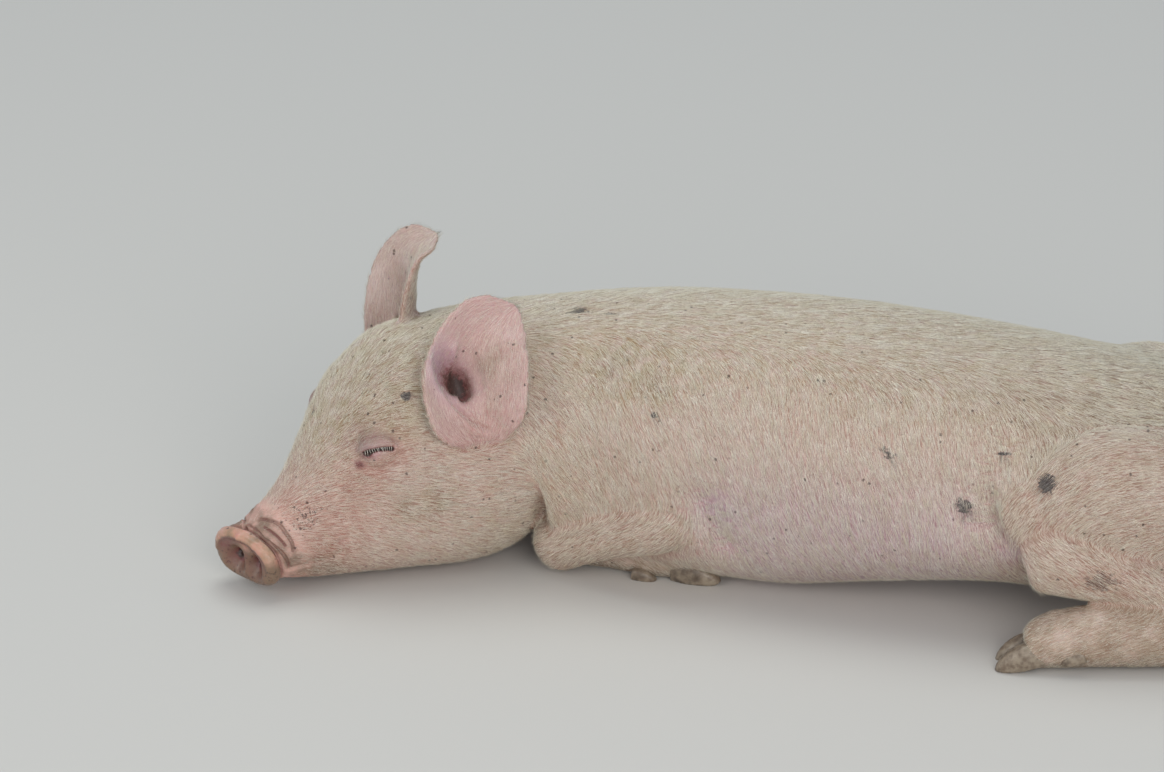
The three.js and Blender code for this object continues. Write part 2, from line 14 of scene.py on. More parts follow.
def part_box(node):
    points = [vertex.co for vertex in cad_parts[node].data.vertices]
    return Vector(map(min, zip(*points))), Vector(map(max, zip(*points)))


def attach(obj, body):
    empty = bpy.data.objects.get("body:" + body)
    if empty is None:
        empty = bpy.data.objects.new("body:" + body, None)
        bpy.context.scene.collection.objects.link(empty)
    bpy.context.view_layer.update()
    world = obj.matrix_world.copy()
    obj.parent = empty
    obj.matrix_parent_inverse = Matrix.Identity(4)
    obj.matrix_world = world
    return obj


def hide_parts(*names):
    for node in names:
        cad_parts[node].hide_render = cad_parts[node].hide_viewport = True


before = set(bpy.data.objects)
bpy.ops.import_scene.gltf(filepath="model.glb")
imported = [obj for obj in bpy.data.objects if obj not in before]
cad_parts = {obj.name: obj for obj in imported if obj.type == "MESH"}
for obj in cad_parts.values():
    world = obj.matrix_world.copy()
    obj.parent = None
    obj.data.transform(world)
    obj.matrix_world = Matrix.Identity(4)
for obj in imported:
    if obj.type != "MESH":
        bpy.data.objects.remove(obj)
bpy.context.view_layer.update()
bpy.ops.object.select_all(action="DESELECT")
MM = 0.001

# %% [markdown]
# ## The body's own directions
# Every feature is placed in the frame of the part that carries it. The trunk's frame starts on the
# floor under its middle: along to the head, out to the left, and up. The head's frame starts in the
# middle of the snout disc: back to the nape, left, and up to the forehead.

# %% Directions of trunk, head and snout


def axes_of(yaw, pitch, roll):
    """Forward, left and up of a body part from its yaw to the left, nose-down pitch and roll."""
    a, b, c = (np.radians(np.asarray(angle, float))[..., None] for angle in (yaw, pitch, roll))
    ones = np.ones_like(a)
    forward = np.concatenate([-np.cos(a) * np.cos(b), -np.sin(a) * np.cos(b), -np.sin(b)], -1)
    flat_left = np.concatenate([np.sin(a), -np.cos(a), 0 * ones], -1)
    flat_up = np.cross(forward, flat_left)
    left = flat_left * np.cos(c) - flat_up * np.sin(c)
    up = flat_up * np.cos(c) + flat_left * np.sin(c)
    return forward, left, up


class Place:
    """A frame on the body: an origin and its forward, left and up directions."""

    def __init__(self, origin, axes):
        self.origin = np.asarray(origin, float)
        self.forward, self.left, self.up = axes

    def point(self, forward, left, up):
        """The point so far forward, left and up; numbers or arrays."""
        parts = ((forward, self.forward), (left, self.left), (up, self.up))
        return self.origin + sum(np.asarray(value, float)[..., None] * axis for value, axis in parts)

    def within(self, points):
        """How far forward, left and up each point is."""
        away = points - self.origin
        return away @ self.forward, away @ self.left, away @ self.up


TRUNK_TURN = -15
HEAD_TURN = (27.5, 22.5, -5)
SNOUT_TURN = (49, 15.5, 2)
EYE_PLACE = (89, 35, 31)  # back, left and up in the head
EYE_RADIUS = 10.5

# The middle of the left eye is known in the head's frame and in the CAD, which gives the shift
# from the pig's own middle to the middle of its box.
eye_low, eye_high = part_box("eye_left")
eye_middle = np.array((eye_low + eye_high) / 2) / MM
head = Place((-305, -45, 21), axes_of(*HEAD_TURN))
shift = eye_middle - head.point(-EYE_PLACE[0], EYE_PLACE[1], EYE_PLACE[2])
head.origin = head.origin + shift
trunk = Place(shift * (1, 1, 0), axes_of(TRUNK_TURN, 0, 0))
snout = Place(head.point(-3.2, -0.5, -1.2), axes_of(*SNOUT_TURN))
print("the body is shifted by", shift.round(2))

# %% [markdown]
# ## Camera, floor and light
# A long lens far away looks down on the sleeping pig. The light is that of a bright overcast day: one
# wide soft source overhead, a weaker one from the camera's side, and a pale floor that throws some of
# it back under the chin and belly.

# %% Camera
CAMERA_PLACE = np.array((0, -3207.6, 1634.4))  # from the middle of the trunk, on the floor
CAMERA_TURNS = (2.13, 25.5, -0.95)  # turned left, looking down and rolled, in degrees
FOCAL_LENGTH = 200  # for a sensor 36 wide, both in millimetres

bpy.context.scene.view_settings.view_transform = "Standard"
camera_data = bpy.data.cameras.new("camera")
camera_data.lens = FOCAL_LENGTH
camera_data.sensor_width = 36
camera_data.clip_end = 50
camera = bpy.data.objects.new("camera", camera_data)
bpy.context.scene.collection.objects.link(camera)
turned, tilted, rolled = (math.radians(angle) for angle in CAMERA_TURNS)
aim = Matrix.Rotation(turned, 4, "Z") @ Matrix.Rotation(math.pi / 2 - tilted, 4, "X")
aim = aim @ Matrix.Rotation(rolled, 4, "Z")
camera.matrix_world = Matrix.Translation((CAMERA_PLACE + shift) * MM) @ aim
bpy.context.scene.camera = camera

# %% Floor and backdrop light
FLOOR_COLOUR = (0.62, 0.60, 0.56, 1)
SKY_COLOUR = (0.80, 0.88, 1.0, 1)
SKY_STRENGTH = 0.45

bpy.ops.mesh.primitive_plane_add(size=30, location=(0, 0, 0))
floor = bpy.context.object
floor.name = "floor"
floor_material = bpy.data.materials.new("pale_floor")
floor_material.use_nodes = True
floor_shader = floor_material.node_tree.nodes["Principled BSDF"]
floor_shader.inputs["Base Color"].default_value = FLOOR_COLOUR
floor_shader.inputs["Roughness"].default_value = 0.9
floor.data.materials.append(floor_material)

world = bpy.context.scene.world or bpy.data.worlds.new("sky")
bpy.context.scene.world = world
world.use_nodes = True
world.node_tree.nodes["Background"].inputs["Color"].default_value = SKY_COLOUR
world.node_tree.nodes["Background"].inputs["Strength"].default_value = SKY_STRENGTH


def soft_light(name, place, size, power, colour):
    """A square area light that faces the pig."""
    lamp = bpy.data.lights.new(name, "AREA")
    lamp.size = size
    lamp.energy = power
    lamp.color = colour
    holder = bpy.data.objects.new(name, lamp)
    bpy.context.scene.collection.objects.link(holder)
    holder.location = place
    holder.rotation_euler = (Vector((0, 0, 0.08)) - holder.location).to_track_quat("-Z", "Y").to_euler()


soft_light("overhead", (-0.3, 0.5, 2.3), 1.6, 20, (0.95, 1.0, 0.98))
soft_light("from_the_left", (-2.0, -1.4, 1.2), 1.4, 15, (1.0, 0.97, 0.93))
soft_light("from_the_front", (0.7, -2.5, 1.1), 1.8, 36, (1.0, 0.98, 0.97))

# %% [markdown]
# ## The flesh
# Flesh has no flat or turned face to start from, so every piece is a grid wrapped round a path: the
# long way runs along the path and the short way round it. The seam and the two ends are closed by
# merging their doubles. Body and limbs are smaller than the solids by the depth of the coat.

# %% Wrapping a grid round a path
COAT_DEPTH = 1.0
flesh = []  # the closed pieces, to be joined
samples = []  # (part name, points, place along, turn round, lie) for finding one's way on the skin later


def eased(table, place):
    """Every column of a table at places between its rows, on smooth curves through them."""
    table = np.asarray(table, float)
    place = np.asarray(place, float)
    last = len(table) - 1
    start = np.clip(np.floor(place).astype(int), 0, last - 1)
    a, b, c, d = (table[np.clip(start + k, 0, last)] for k in (-1, 0, 1, 2))
    u = (place - start)[..., None]
    rise, fall = (c - a) / 2, (d - b) / 2
    return (((2 * (b - c) + rise + fall) * u + 3 * (c - b) - 2 * rise - fall) * u + rise) * u + b


def unit(vectors):
    """The same directions with length one."""
    return vectors / np.maximum(np.linalg.norm(vectors, axis=-1, keepdims=True), 1e-9)


def wrapped(part, rings, lie=1):
    """A closed piece of flesh from rings of points, of shape (along, around, 3), and its lie of hair."""
    along, around = rings.shape[:2]
    ends = [np.repeat(rings[k].mean(0)[None], around, 0) for k in (0, -1)]
    rows = np.concatenate([ends[0][None], rings, ends[1][None]])
    rows = np.concatenate([rows, rows[:, :1]], axis=1)
    bpy.ops.mesh.primitive_grid_add(x_subdivisions=around, y_subdivisions=along + 1, size=1)
    piece = bpy.context.object
    piece.name = "flesh_" + part
    piece.data.vertices.foreach_set("co", (rows.reshape(-1, 3) * MM).ravel())
    piece.data.update()
    bpy.ops.object.mode_set(mode="EDIT")
    bpy.ops.mesh.select_all(action="SELECT")
    bpy.ops.mesh.remove_doubles(threshold=0.00001)
    bpy.ops.mesh.normals_make_consistent(inside=False)
    bpy.ops.object.mode_set(mode="OBJECT")
    piece.location = (0, 0, 0)
    flesh.append(piece)
    place = np.repeat(np.linspace(0, 1, along)[:, None], around, 1)
    turn = np.repeat((np.arange(around) / around)[None], along, 0)
    run = unit(np.gradient(rings, axis=0)) * lie
    samples.append((part, rings.reshape(-1, 3), place.ravel(), turn.ravel(), run.reshape(-1, 3)))
    return piece


# %% Trunk, neck and head as one piece
# Trunk rows: along, half width, height of back, height of belly.
TRUNK_ROWS = (
    (-258, 12, 102, 72), (-252, 28, 112, 50), (-238, 46, 122, 30), (-210, 65, 133, 18),
    (-172, 77, 138, 14), (-115, 81, 143, 13), (-58, 82, 147, 5), (0, 81, 149, -5),
    (58, 78, 147, -5), (100, 73, 143, -2),
)
# The neck's one row: place along the frame's axes before the shift, turn, then sizes as in the head.
NECK_ROW = (-141, 27, 72, -2, 9, -2, 68, 67, 70, 2.2, -0.05)
# Head rows: back, half width, up, down, squareness, narrowing upwards.
HEAD_ROWS = (
    (155, 64, 60, 74, 2.3, -0.06), (135, 59, 65, 74, 2.5, -0.06), (115, 54, 66, 71, 2.7, -0.04),
    (95, 50, 61.5, 63, 2.7, -0.03), (78, 43.5, 52.5, 55, 2.6, -0.04), (62, 36, 42, 48, 2.5, -0.07),
    (46, 29, 31, 40, 2.4, -0.1), (30, 24, 23, 32, 2.3, -0.12), (16, 21, 19.5, 24, 2.3, -0.1),
    (7, 18.5, 16.5, 18, 2.2, -0.05),
)


def spine_rows():
    """Middle, turn and sizes of each cross-section from the rump to the snout."""
    rows = []
    for along, half, top, belly in TRUNK_ROWS:
        middle = trunk.point(along, 0, (top + belly) / 2)
        reach = (top - belly) / 2
        rows.append((*middle, TRUNK_TURN, 0, 0, half, reach, reach, 2.25, -0.04))
    rows.append((*(np.array(NECK_ROW[:3]) + shift), *NECK_ROW[3:]))
    for back, half, up, down, box, lean in HEAD_ROWS:
        rows.append((*head.point(-back, 0, 0), *HEAD_TURN, half, up, down, box, lean))
    return np.array(rows)


SPINE = spine_rows()
AROUND_BODY = 168
STEPS_PER_ROW = 11


def boxed(value, box):
    """A sine or cosine made squarer, with its sign kept."""
    return np.sign(value) * np.abs(value) ** (2 / box)


def body_rings():
    """The rings of the body, each starting under the belly and going up its left side."""
    place = np.linspace(0, len(SPINE) - 1, (len(SPINE) - 1) * STEPS_PER_ROW + 1)
    x, y, z, yaw, pitch, roll, half, up_size, down_size, box, lean = eased(SPINE, place).T
    _, left, up = axes_of(yaw, pitch, roll)
    angle = np.linspace(-0.5, 1.5, AROUND_BODY, endpoint=False)[None] * math.pi
    high = boxed(np.sin(angle), box[:, None])
    wide = boxed(np.cos(angle), box[:, None]) * (1 + lean[:, None] * high)
    size = np.where(high > 0, up_size[:, None], down_size[:, None]) - COAT_DEPTH
    middle = np.stack([x, y, z], -1)[:, None]
    across = (wide * (half[:, None] - COAT_DEPTH))[..., None] * left[:, None]
    return middle + across + (high * size)[..., None] * up[:, None]


body = wrapped("body", body_rings(), lie=-1)
print("the body has", len(body.data.vertices), "points")

# %% Legs and tail
# Stations of each section: along, out, height, half width, half depth, in the trunk's frame.
LEGS = {
    "foreleg": {
        "upper": ((102, 37, 96, 26, 35), (80, 46, 76, 25, 34), (58, 53, 54, 20, 24)),
        "lower": ((52, 66, 47, 15, 17), (68, 65, 41, 15.5, 18), (88, 62, 34, 15, 17),
                  (106, 59, 26, 14.5, 16.5), (122, 55, 19, 15.5, 18)),
        "foot": ((115, 42, 13, 13, 13.5), (98, 41, 11.5, 12.5, 12.5), (76, 41, 10, 13.5, 12),
                 (54, 41, 8.5, 13, 10.5)),
    },
    "hindleg": {
        "upper": ((-234, 37, 74, 29, 38), (-210, 45, 79, 35, 46), (-180, 56, 80, 34, 46),
                  (-152, 70, 73, 20, 28)),
        "lower": ((-160, 80, 59, 18, 22), (-176, 80, 56, 17, 20), (-198, 77, 51, 15, 17),
                  (-220, 73, 43, 13, 15), (-240, 69, 35, 12.5, 14)),
        "foot": ((-242, 72, 20, 15.5, 20.5), (-218, 79, 20, 15.5, 20), (-195, 85, 19, 15.5, 19),
                 (-172, 90, 16, 15.5, 17), (-155, 94, 11, 13.5, 13)),
    },
}
# The tail hangs limp and ends in half a curl: along, out, height, half thickness twice.
TAIL = (
    (-246, 0, 106, 9, 9), (-263, -1, 101, 7.5, 7.5), (-275, -4, 82, 5.6, 5.6), (-277, -10, 60, 4.6, 4.6),
    (-281, -21, 47, 3.8, 3.8), (-288, -32, 49, 3.1, 3.1), (-292, -37, 59, 2.3, 2.3),
)
SIDES = {"left": 1, "right": -1}


def limb_rings(stations, side, around=40, steps=9, end_depth=1.0):
    """Rings of a limb through its stations, with a round start and an end as deep as asked."""
    place = np.linspace(0, len(stations) - 1, (len(stations) - 1) * steps + 1)
    along, out, height, wide, deep = eased(stations, place).T
    middle = trunk.point(along, out * side, height)
    tangent = unit(np.gradient(middle, axis=0))
    across = unit(np.cross(tangent, trunk.left))
    aside = np.cross(across, tangent)
    angle = np.linspace(0, 2, around, endpoint=False) * math.pi

    def ring(k, shrink, push):
        """The ring at one step, drawn in and pushed along the path."""
        reach = min(wide[k], deep[k]) - COAT_DEPTH
        start = middle[k] + tangent[k] * push * reach
        aside_part = np.cos(angle)[:, None] * aside[k] * (wide[k] - COAT_DEPTH)
        across_part = np.sin(angle)[:, None] * across[k] * (deep[k] - COAT_DEPTH)
        return start + (aside_part + across_part) * shrink

    caps = [math.radians(a) for a in (82, 70, 56, 42, 28, 14)]
    start = [ring(0, math.cos(a), -math.sin(a)) for a in caps]
    end = [ring(-1, math.cos(a), end_depth * math.sin(a)) for a in reversed(caps)]
    return np.array(start + [ring(k, 1, 0) for k in range(len(place))] + end)


for leg, sections in LEGS.items():
    for side_name, side in SIDES.items():
        for section, stations in sections.items():
            rings = limb_rings(stations, side, end_depth=0.3 if section == "foot" else 1.0)
            wrapped(f"{leg}_{side_name}_{section}", rings)
wrapped("tail", limb_rings(TAIL, 1, around=24, steps=14))

# %% [markdown]
# ## Ears and snout
# An ear is a leaf of skin and gristle, rolled about its length. Its cross-section is a thin ellipse
# bent round an arc, so its rim is round. The left ear is laid back with its hollow to the side, the
# right one stands. The snout disc is a short stem with a thick rim and a shallow face.

# %% Ears
# Path points are back, out and up in the head; rows are half width, half angle of the roll, thickness.
EARS = {
    "left": {
        "path": ((138, 56, 11), (143, 56, 29), (154, 50, 46), (171, 43, 58), (192, 37, 60)),
        "opening": (0.15, 0.8, 0.55),
        "root": (142, 40, 38),
        "rows": ((14, 45, 6.5), (29, 55, 5.2), (32.5, 50, 4.4), (29.5, 42, 4), (22, 30, 3.6), (9, 20, 3.2)),
    },
    "right": {
        "path": ((140, 34, 30), (149, 36, 54), (160, 36, 74), (171, 35, 86), (186, 33, 88)),
        "opening": (0.91, -0.08, 0.37),
        "root": (145, 36, 42),
        "rows": ((29, 78, 6), (28, 70, 5), (26, 62, 4.4), (22, 52, 4), (15, 42, 3.6), (6, 25, 3.2)),
    },
}
EAR_STEPS, EAR_AROUND = 70, 72


def ear_rings(path, opening, rows, side):
    """Rings of an ear from its base to its tip."""
    share = np.linspace(0, 1, EAR_STEPS)
    points = eased(path, share * (len(path) - 1))
    middle = head.point(-points[:, 0], points[:, 1] * side, points[:, 2])
    half, roll, thick = eased(rows, share * (len(rows) - 1)).T
    half = half * np.sqrt(np.clip((1 - share) / 0.12, 0.04, 1))  # the tip rounds off
    tangent = unit(np.gradient(middle, axis=0))
    facing = opening[0] * head.forward + opening[1] * side * head.left + opening[2] * head.up
    across = unit(np.cross(tangent, facing))
    inward = np.cross(across, tangent)
    roll = np.radians(roll)[:, None]
    radius = half[:, None] / roll
    angle = np.linspace(0, 2, EAR_AROUND, endpoint=False)[None] * math.pi
    turn = boxed(np.cos(angle), 3) * roll
    reach = radius + boxed(np.sin(angle), 5) * thick[:, None] / 2
    bend = (radius - reach * np.cos(turn))[..., None] * inward[:, None]
    return middle[:, None] + bend + (reach * np.sin(turn))[..., None] * across[:, None]


for side_name, side in SIDES.items():
    ear = EARS[side_name]
    wrapped("ear_" + side_name, ear_rings(ear["path"], ear["opening"], ear["rows"], side))

# %% The muscle at the root of each ear, and the snout disc
EAR_ROOT = (13, 10, 14)  # half sizes along the head's directions
# Disc rows: distance in front of its middle, half width, up, down.
DISC_ROWS = (
    (-14, 16.2, 15.2, 13.2), (-7, 18.5, 16.5, 14.2), (-3, 20.3, 16.5, 14.9), (0, 22.3, 17.7, 15.9),
    (3, 22.8, 17.8, 16), (5.3, 20.3, 15.3, 13.8), (4.6, 15, 11, 10), (3.6, 7, 5, 5),
)


def ball_rings(place, sizes, steps=24, around=36):
    """Rings of an ellipsoid whose half sizes lie along a frame's directions."""
    polar = np.linspace(0.02, 0.98, steps)[:, None] * math.pi
    turn = np.linspace(0, 2, around, endpoint=False)[None] * math.pi
    forward = -np.cos(polar) * sizes[0] + 0 * turn
    left = np.sin(polar) * np.cos(turn) * sizes[1]
    return place.point(forward, left, np.sin(polar) * np.sin(turn) * sizes[2])


def disc_rings(around=84, steps=6):
    """Rings of the snout disc from its stem to the middle of its face."""
    place = np.linspace(0, len(DISC_ROWS) - 1, (len(DISC_ROWS) - 1) * steps + 1)
    front, half, up, down = (column[:, None] for column in eased(DISC_ROWS, place).T)
    angle = np.linspace(-0.5, 1.5, around, endpoint=False)[None] * math.pi
    high = boxed(np.sin(angle), 2.3)
    size = np.where(high > 0, up, down)
    return snout.point(front + 0 * angle, boxed(np.cos(angle), 2.3) * half, high * size)


for side_name, side in SIDES.items():
    back, left, up = EARS[side_name]["root"]
    root = Place(head.point(-back, left * side, up), (head.forward, head.left, head.up))
    wrapped("ear_root_" + side_name, ball_rings(root, EAR_ROOT))
wrapped("disc", disc_rings())
print(len(flesh), "pieces of flesh")

# %% [markdown]
# ## One skin
# The pieces are joined and remeshed as one surface, which melts them together where they cross. A few
# rounds of smoothing turn the creases into soft folds. The trunk and hams need fewer triangles than
# the head, so they are thinned out, and the faces round the eyes and snout are cut finer.

# %% Joining and remeshing
VOXEL = 1.5
bpy.ops.object.select_all(action="DESELECT")
for piece in flesh:
    piece.select_set(True)
bpy.context.view_layer.objects.active = flesh[0]
bpy.ops.object.join()
skin = bpy.context.object
skin.name = "skin"


def apply_modifier(kind, **settings):
    """Adds a modifier to the skin, sets it up and applies it."""
    modifier = skin.modifiers.new(kind.lower(), kind)
    for key, value in settings.items():
        setattr(modifier, key, value)
    bpy.context.view_layer.objects.active = skin
    bpy.ops.object.modifier_apply(modifier=modifier.name)


apply_modifier("REMESH", mode="VOXEL", voxel_size=VOXEL * MM)
print("remeshed:", len(skin.data.vertices), "points")

# %% Finding one's way on the skin
PARTS = [name for name, *_ in samples]
sample_points, sample_along, sample_turn, sample_lie = (
    np.concatenate([sample[k] for sample in samples]) for k in (1, 2, 3, 4)
)
sample_part = np.concatenate([np.full(len(sample[1]), k) for k, sample in enumerate(samples)])
finder = kdtree.KDTree(len(sample_points))
for number, point in enumerate(sample_points):
    finder.insert(point, number)
finder.balance()


def numbers_of(items, name, width=3, kind=np.float32):
    """One property of all of a mesh's items, as rows."""
    flat = np.empty(len(items) * width, kind)
    items.foreach_get(name, flat)
    return flat.reshape(-1, width)


def points_of(piece):
    """The piece's points in millimetres."""
    return numbers_of(piece.data.vertices, "co").astype(float) / MM


def normals_of(piece):
    """The direction in which the surface faces at each point."""
    return numbers_of(piece.data.vertex_normals, "vector").astype(float)


def move_points(piece, points):
    """Gives the piece new points, in millimetres."""
    piece.data.vertices.foreach_set("co", (points * MM).ravel())
    piece.data.update()


def nearest_samples(points):
    """For each point, the number of the nearest sample of the flesh."""
    return np.array([finder.find(point)[1] for point in points])


def on_parts(part_numbers, *starts):
    """Where the part's name begins with one of the given words."""
    chosen = [k for k, name in enumerate(PARTS) if name.startswith(starts)]
    return np.isin(part_numbers, chosen)


def edges_of(piece):
    """The two points of every edge, each edge both ways round."""
    pairs = numbers_of(piece.data.edges, "vertices", 2, np.int32)
    return np.concatenate([pairs, pairs[:, ::-1]])


def evened(values, ends, share=1.0, rounds=1):
    """Values moved by a share of the way to the mean of their neighbours'."""
    values = values.reshape(len(values), -1)
    count = np.maximum(np.bincount(ends[:, 0], minlength=len(values)), 1)[:, None]
    for _ in range(rounds):
        sums = [np.bincount(ends[:, 0], column[ends[:, 1]], len(values)) for column in values.T]
        values = values + share * (np.stack(sums, 1) / count - values)
    return values


# %% Smoothing that keeps the size, and softer joins
# A step inwards and a slightly longer one outwards take the steps off the surface without shrinking
# rims and tips. Where one part runs into another, plain smoothing turns the corner into a fold.
JOIN_ROUNDS = 9
ends = edges_of(skin)
skin_points = points_of(skin)
nearest = nearest_samples(skin_points)
part = sample_part[nearest]
differs = (part[ends[:, 0]] != part[ends[:, 1]]) & ~on_parts(part[ends[:, 0]], "disc")
join = np.bincount(ends[:, 0], differs & ~on_parts(part[ends[:, 1]], "disc"), len(part)) > 0
join = np.clip(evened(join.astype(float), ends, rounds=7) * 4, 0, 1)
for _ in range(8):
    skin_points = evened(skin_points, ends, share=0.5)
    skin_points = evened(skin_points, ends, share=-0.52)
for _ in range(JOIN_ROUNDS):
    skin_points = evened(skin_points, ends, share=0.6 * join)
move_points(skin, skin_points)


# %% Fewer triangles on the trunk, more on the face
FINE_PARTS = ("ear", "disc", "tail")
FINE_FROM = 0.62  # the body is kept fine from this share of its length forward
KEEP_SHARE = 0.33  # of the remeshed triangles

fine = on_parts(part, *FINE_PARTS) | on_parts(part, "body") & (sample_along[nearest] > FINE_FROM)
coarse_group = skin.vertex_groups.new(name="coarse")
coarse_group.add(np.flatnonzero(~fine).tolist(), 1.0, "REPLACE")
apply_modifier("DECIMATE", ratio=KEEP_SHARE, vertex_group="coarse")
print("thinned:", len(skin.data.polygons), "faces")


def refine(centre, reach, rounds):
    """Cuts the faces within reach of a place into finer ones."""
    for _ in range(rounds):
        bpy.context.view_layer.objects.active = skin
        bpy.ops.object.mode_set(mode="EDIT")
        bpy.ops.mesh.select_all(action="DESELECT")
        bpy.ops.mesh.select_mode(type="FACE")
        bpy.ops.object.mode_set(mode="OBJECT")
        centres = numbers_of(skin.data.polygons, "center")
        away = np.linalg.norm(centres / MM - centre, axis=1)
        skin.data.polygons.foreach_set("select", away < reach)
        bpy.ops.object.mode_set(mode="EDIT")
        bpy.ops.mesh.subdivide(number_cuts=1, smoothness=0.0)
        bpy.ops.object.mode_set(mode="OBJECT")


eyes = {}
for side_name, side in SIDES.items():
    eyes[side_name] = head.point(-EYE_PLACE[0], EYE_PLACE[1] * side, EYE_PLACE[2])
    refine(eyes[side_name], 19, 1)
    refine(eyes[side_name], 14.5, 1)
refine(snout.point(-3, 2, 0), 30, 1)
for side in SIDES.values():
    refine(head.point(-16, 18 * side, 6), 10.5, 1)
bpy.ops.object.mode_set(mode="EDIT")
bpy.ops.mesh.select_all(action="SELECT")
bpy.ops.mesh.quads_convert_to_tris()
bpy.ops.object.mode_set(mode="OBJECT")
print("refined:", len(skin.data.polygons), "triangles")

# %% [markdown]
# ## Sculpting
# Four tools do all the modelling. A swelling pushes the skin out round a place, or in where it is
# negative, and a groove presses it in along a line, both along the skin's own normals. A push moves
# flesh bodily, and softening smooths a corner away. All four fade out gently.

# %% What part each point belongs to, and the sculpting tools
skin_points = points_of(skin)
skin_normals = normals_of(skin)
nearest = nearest_samples(skin_points)
part = sample_part[nearest]
along = sample_along[nearest]
turn = sample_turn[nearest]
ends = edges_of(skin)


def settle():
    """Writes the sculpted points back and reads the new normals."""
    global skin_normals
    move_points(skin, skin_points)
    skin_normals = normals_of(skin)


def fade(distance, reach):
    """1 at no distance, falling smoothly to 0 at about twice the reach."""
    return np.exp(-((distance / reach) ** 2))


def share_near(place, reach, stretch=()):
    """1 at a place, fading out at about twice the reach, which a stretch makes longer one way."""
    away = skin_points - place
    for direction, factor in stretch:
        away = away - np.outer(away @ direction, direction) * (1 - 1 / factor)
    return fade(np.linalg.norm(away, axis=1), reach)


def swelling(place, reach, height, stretch=()):
    """Pushes the skin out round a place, or in if the height is negative."""
    skin_points[:] += skin_normals * (height * share_near(place, reach, stretch))[:, None]


def swell(place, side, rows):
    """Swellings from rows of forward, out, up, reach and height, then any way and factor of stretch."""
    for ahead, out, rise, reach, height, *stretch in rows:
        swelling(place.point(ahead, out * side, rise), reach, height, stretch_of(place, stretch))


def stretch_of(place, stretch):
    """A stretch given as the name of a frame's direction and a factor."""
    return [(getattr(place, stretch[0]), stretch[1])] if stretch else ()


def push(place, reach, move, stretch=()):
    """Moves all the flesh round a place by a vector, both faces of an ear alike."""
    skin_points[:] += share_near(place, reach, stretch)[:, None] * np.asarray(move)


def soften(place, reach, rounds):
    """Smooths the skin round a place."""
    share = (0.6 * share_near(place, reach))[:, None]
    skin_points[:] = evened(skin_points, ends, share=share, rounds=rounds)
    settle()


DEPTH_COUNTS = 0.2  # how much a line's depth under or over the skin counts as distance from it


def distance_to_line(line, points, normals):
    """How far each point is from a line of several stretches, measured mostly along the skin."""
    line = np.asarray(eased(line, np.linspace(0, len(line) - 1, len(line) * 3)))
    nearest_so_far = np.full(len(points), 1e9)
    for a, b in zip(line[:-1], line[1:]):
        run = b - a
        share = np.clip((points - a) @ run / (run @ run), 0, 1)
        away = points - a - share[:, None] * run
        away -= (1 - DEPTH_COUNTS) * (away * normals).sum(1)[:, None] * normals
        nearest_so_far = np.minimum(nearest_so_far, np.linalg.norm(away, axis=1))
    return nearest_so_far


def groove(line, width, depth, lips=0.0):
    """Presses a groove along a line of points; lips raises the skin beside it."""
    close = np.linalg.norm(skin_points - np.mean(line, 0), axis=1) < np.ptp(line, axis=0).max() + width * 6
    away = distance_to_line(line, skin_points[close], skin_normals[close])
    outward = -depth * fade(away, width) + lips * fade(away - width * 2.2, width)
    skin_points[close] += skin_normals[close] * outward[:, None]


def head_line(*points, side=1):
    """Points given as back, left and up in the head, as places on one side."""
    back, left, up = np.array(points, float).T
    return head.point(-back, left * side, up)


def trunk_line(*points, side=1):
    """Points given as along, out and up in the trunk's frame, as places on one side."""
    ahead, out, rise = np.array(points, float).T
    return trunk.point(ahead, out * side, rise)


# %% Folds of the body
HAM_TO_RUMP = ((-168, 44, 126), (-192, 37, 124), (-214, 30, 116), (-230, 24, 100))
for side in SIDES.values():
    thigh_front = trunk_line((-131, 66, 120), (-124, 74, 110), (-124, 80, 91), (-132, 84, 72),
                             (-146, 86, 54), side=side)
    swell(trunk, side, ((-143, 78, 104, 15, 4.0), (-139, 84, 84, 13, 4.5), (-106, 80, 90, 20, -3.5)))
    settle()
    groove(thigh_front, 5, 2.4, lips=0.6)
    groove(thigh_front[2:], 4, 3.2, lips=0.8)
    # the knee's lower corner is drawn back, and the belly hangs in front of it
    push(trunk.point(-142, 84 * side, 46), 13, -5 * trunk.forward + 3 * trunk.up)
    swell(trunk, side, ((-106, 78, 56, 22, 3.0),))
    groove(trunk_line((34, 76, 66), (30, 78, 52), (24, 76, 40), side=side), 9, 5)  # behind the elbow
    swell(trunk, side, ((88, 70, 100, 30, 3.5), (55, 78, 112, 16, -1.2), (-35, 80, 80, 60, 1.5)))
    swell(head, side, ((-156, 60, 8, 16, 3.5), (-156, 60, -14, 16, 3.5)))
    settle()
    soften(head.point(-158, 60 * side, 0), 22, 60)
    soften(head.point(-156, 58 * side, -24), 18, 50)
    groove(head_line((150, 56, -38), (148, 50, -56), (144, 40, -66), side=side), 6, 1.6)
    # the ham runs into the rump without a fold
    for rear, out, rise in HAM_TO_RUMP:
        soften(trunk.point(rear, out * side, rise), 19, 60)
swelling(head.point(-128, -22, 62), 14, 2.5)
settle()

# %% Lids
EYE_RUN = (-0.93, 0.29, -0.29)  # the slit from its front end backwards: forward, left, up in the head
EYE_FACING = (0.2, 0.84, 0.5)
LID_THICKNESS = 1.3
LID_MIDDLE = -3  # the lids' middle is in front of the ball's, along the slit
SLIT = (-8.6, 6, -1.4)  # front and back ends along the slit, and its height
SLIT_DROOP = 0.8
UPPER_FOLD = (-15, 10, 5.2, 4.5)  # front and back ends, height at the middle and droop
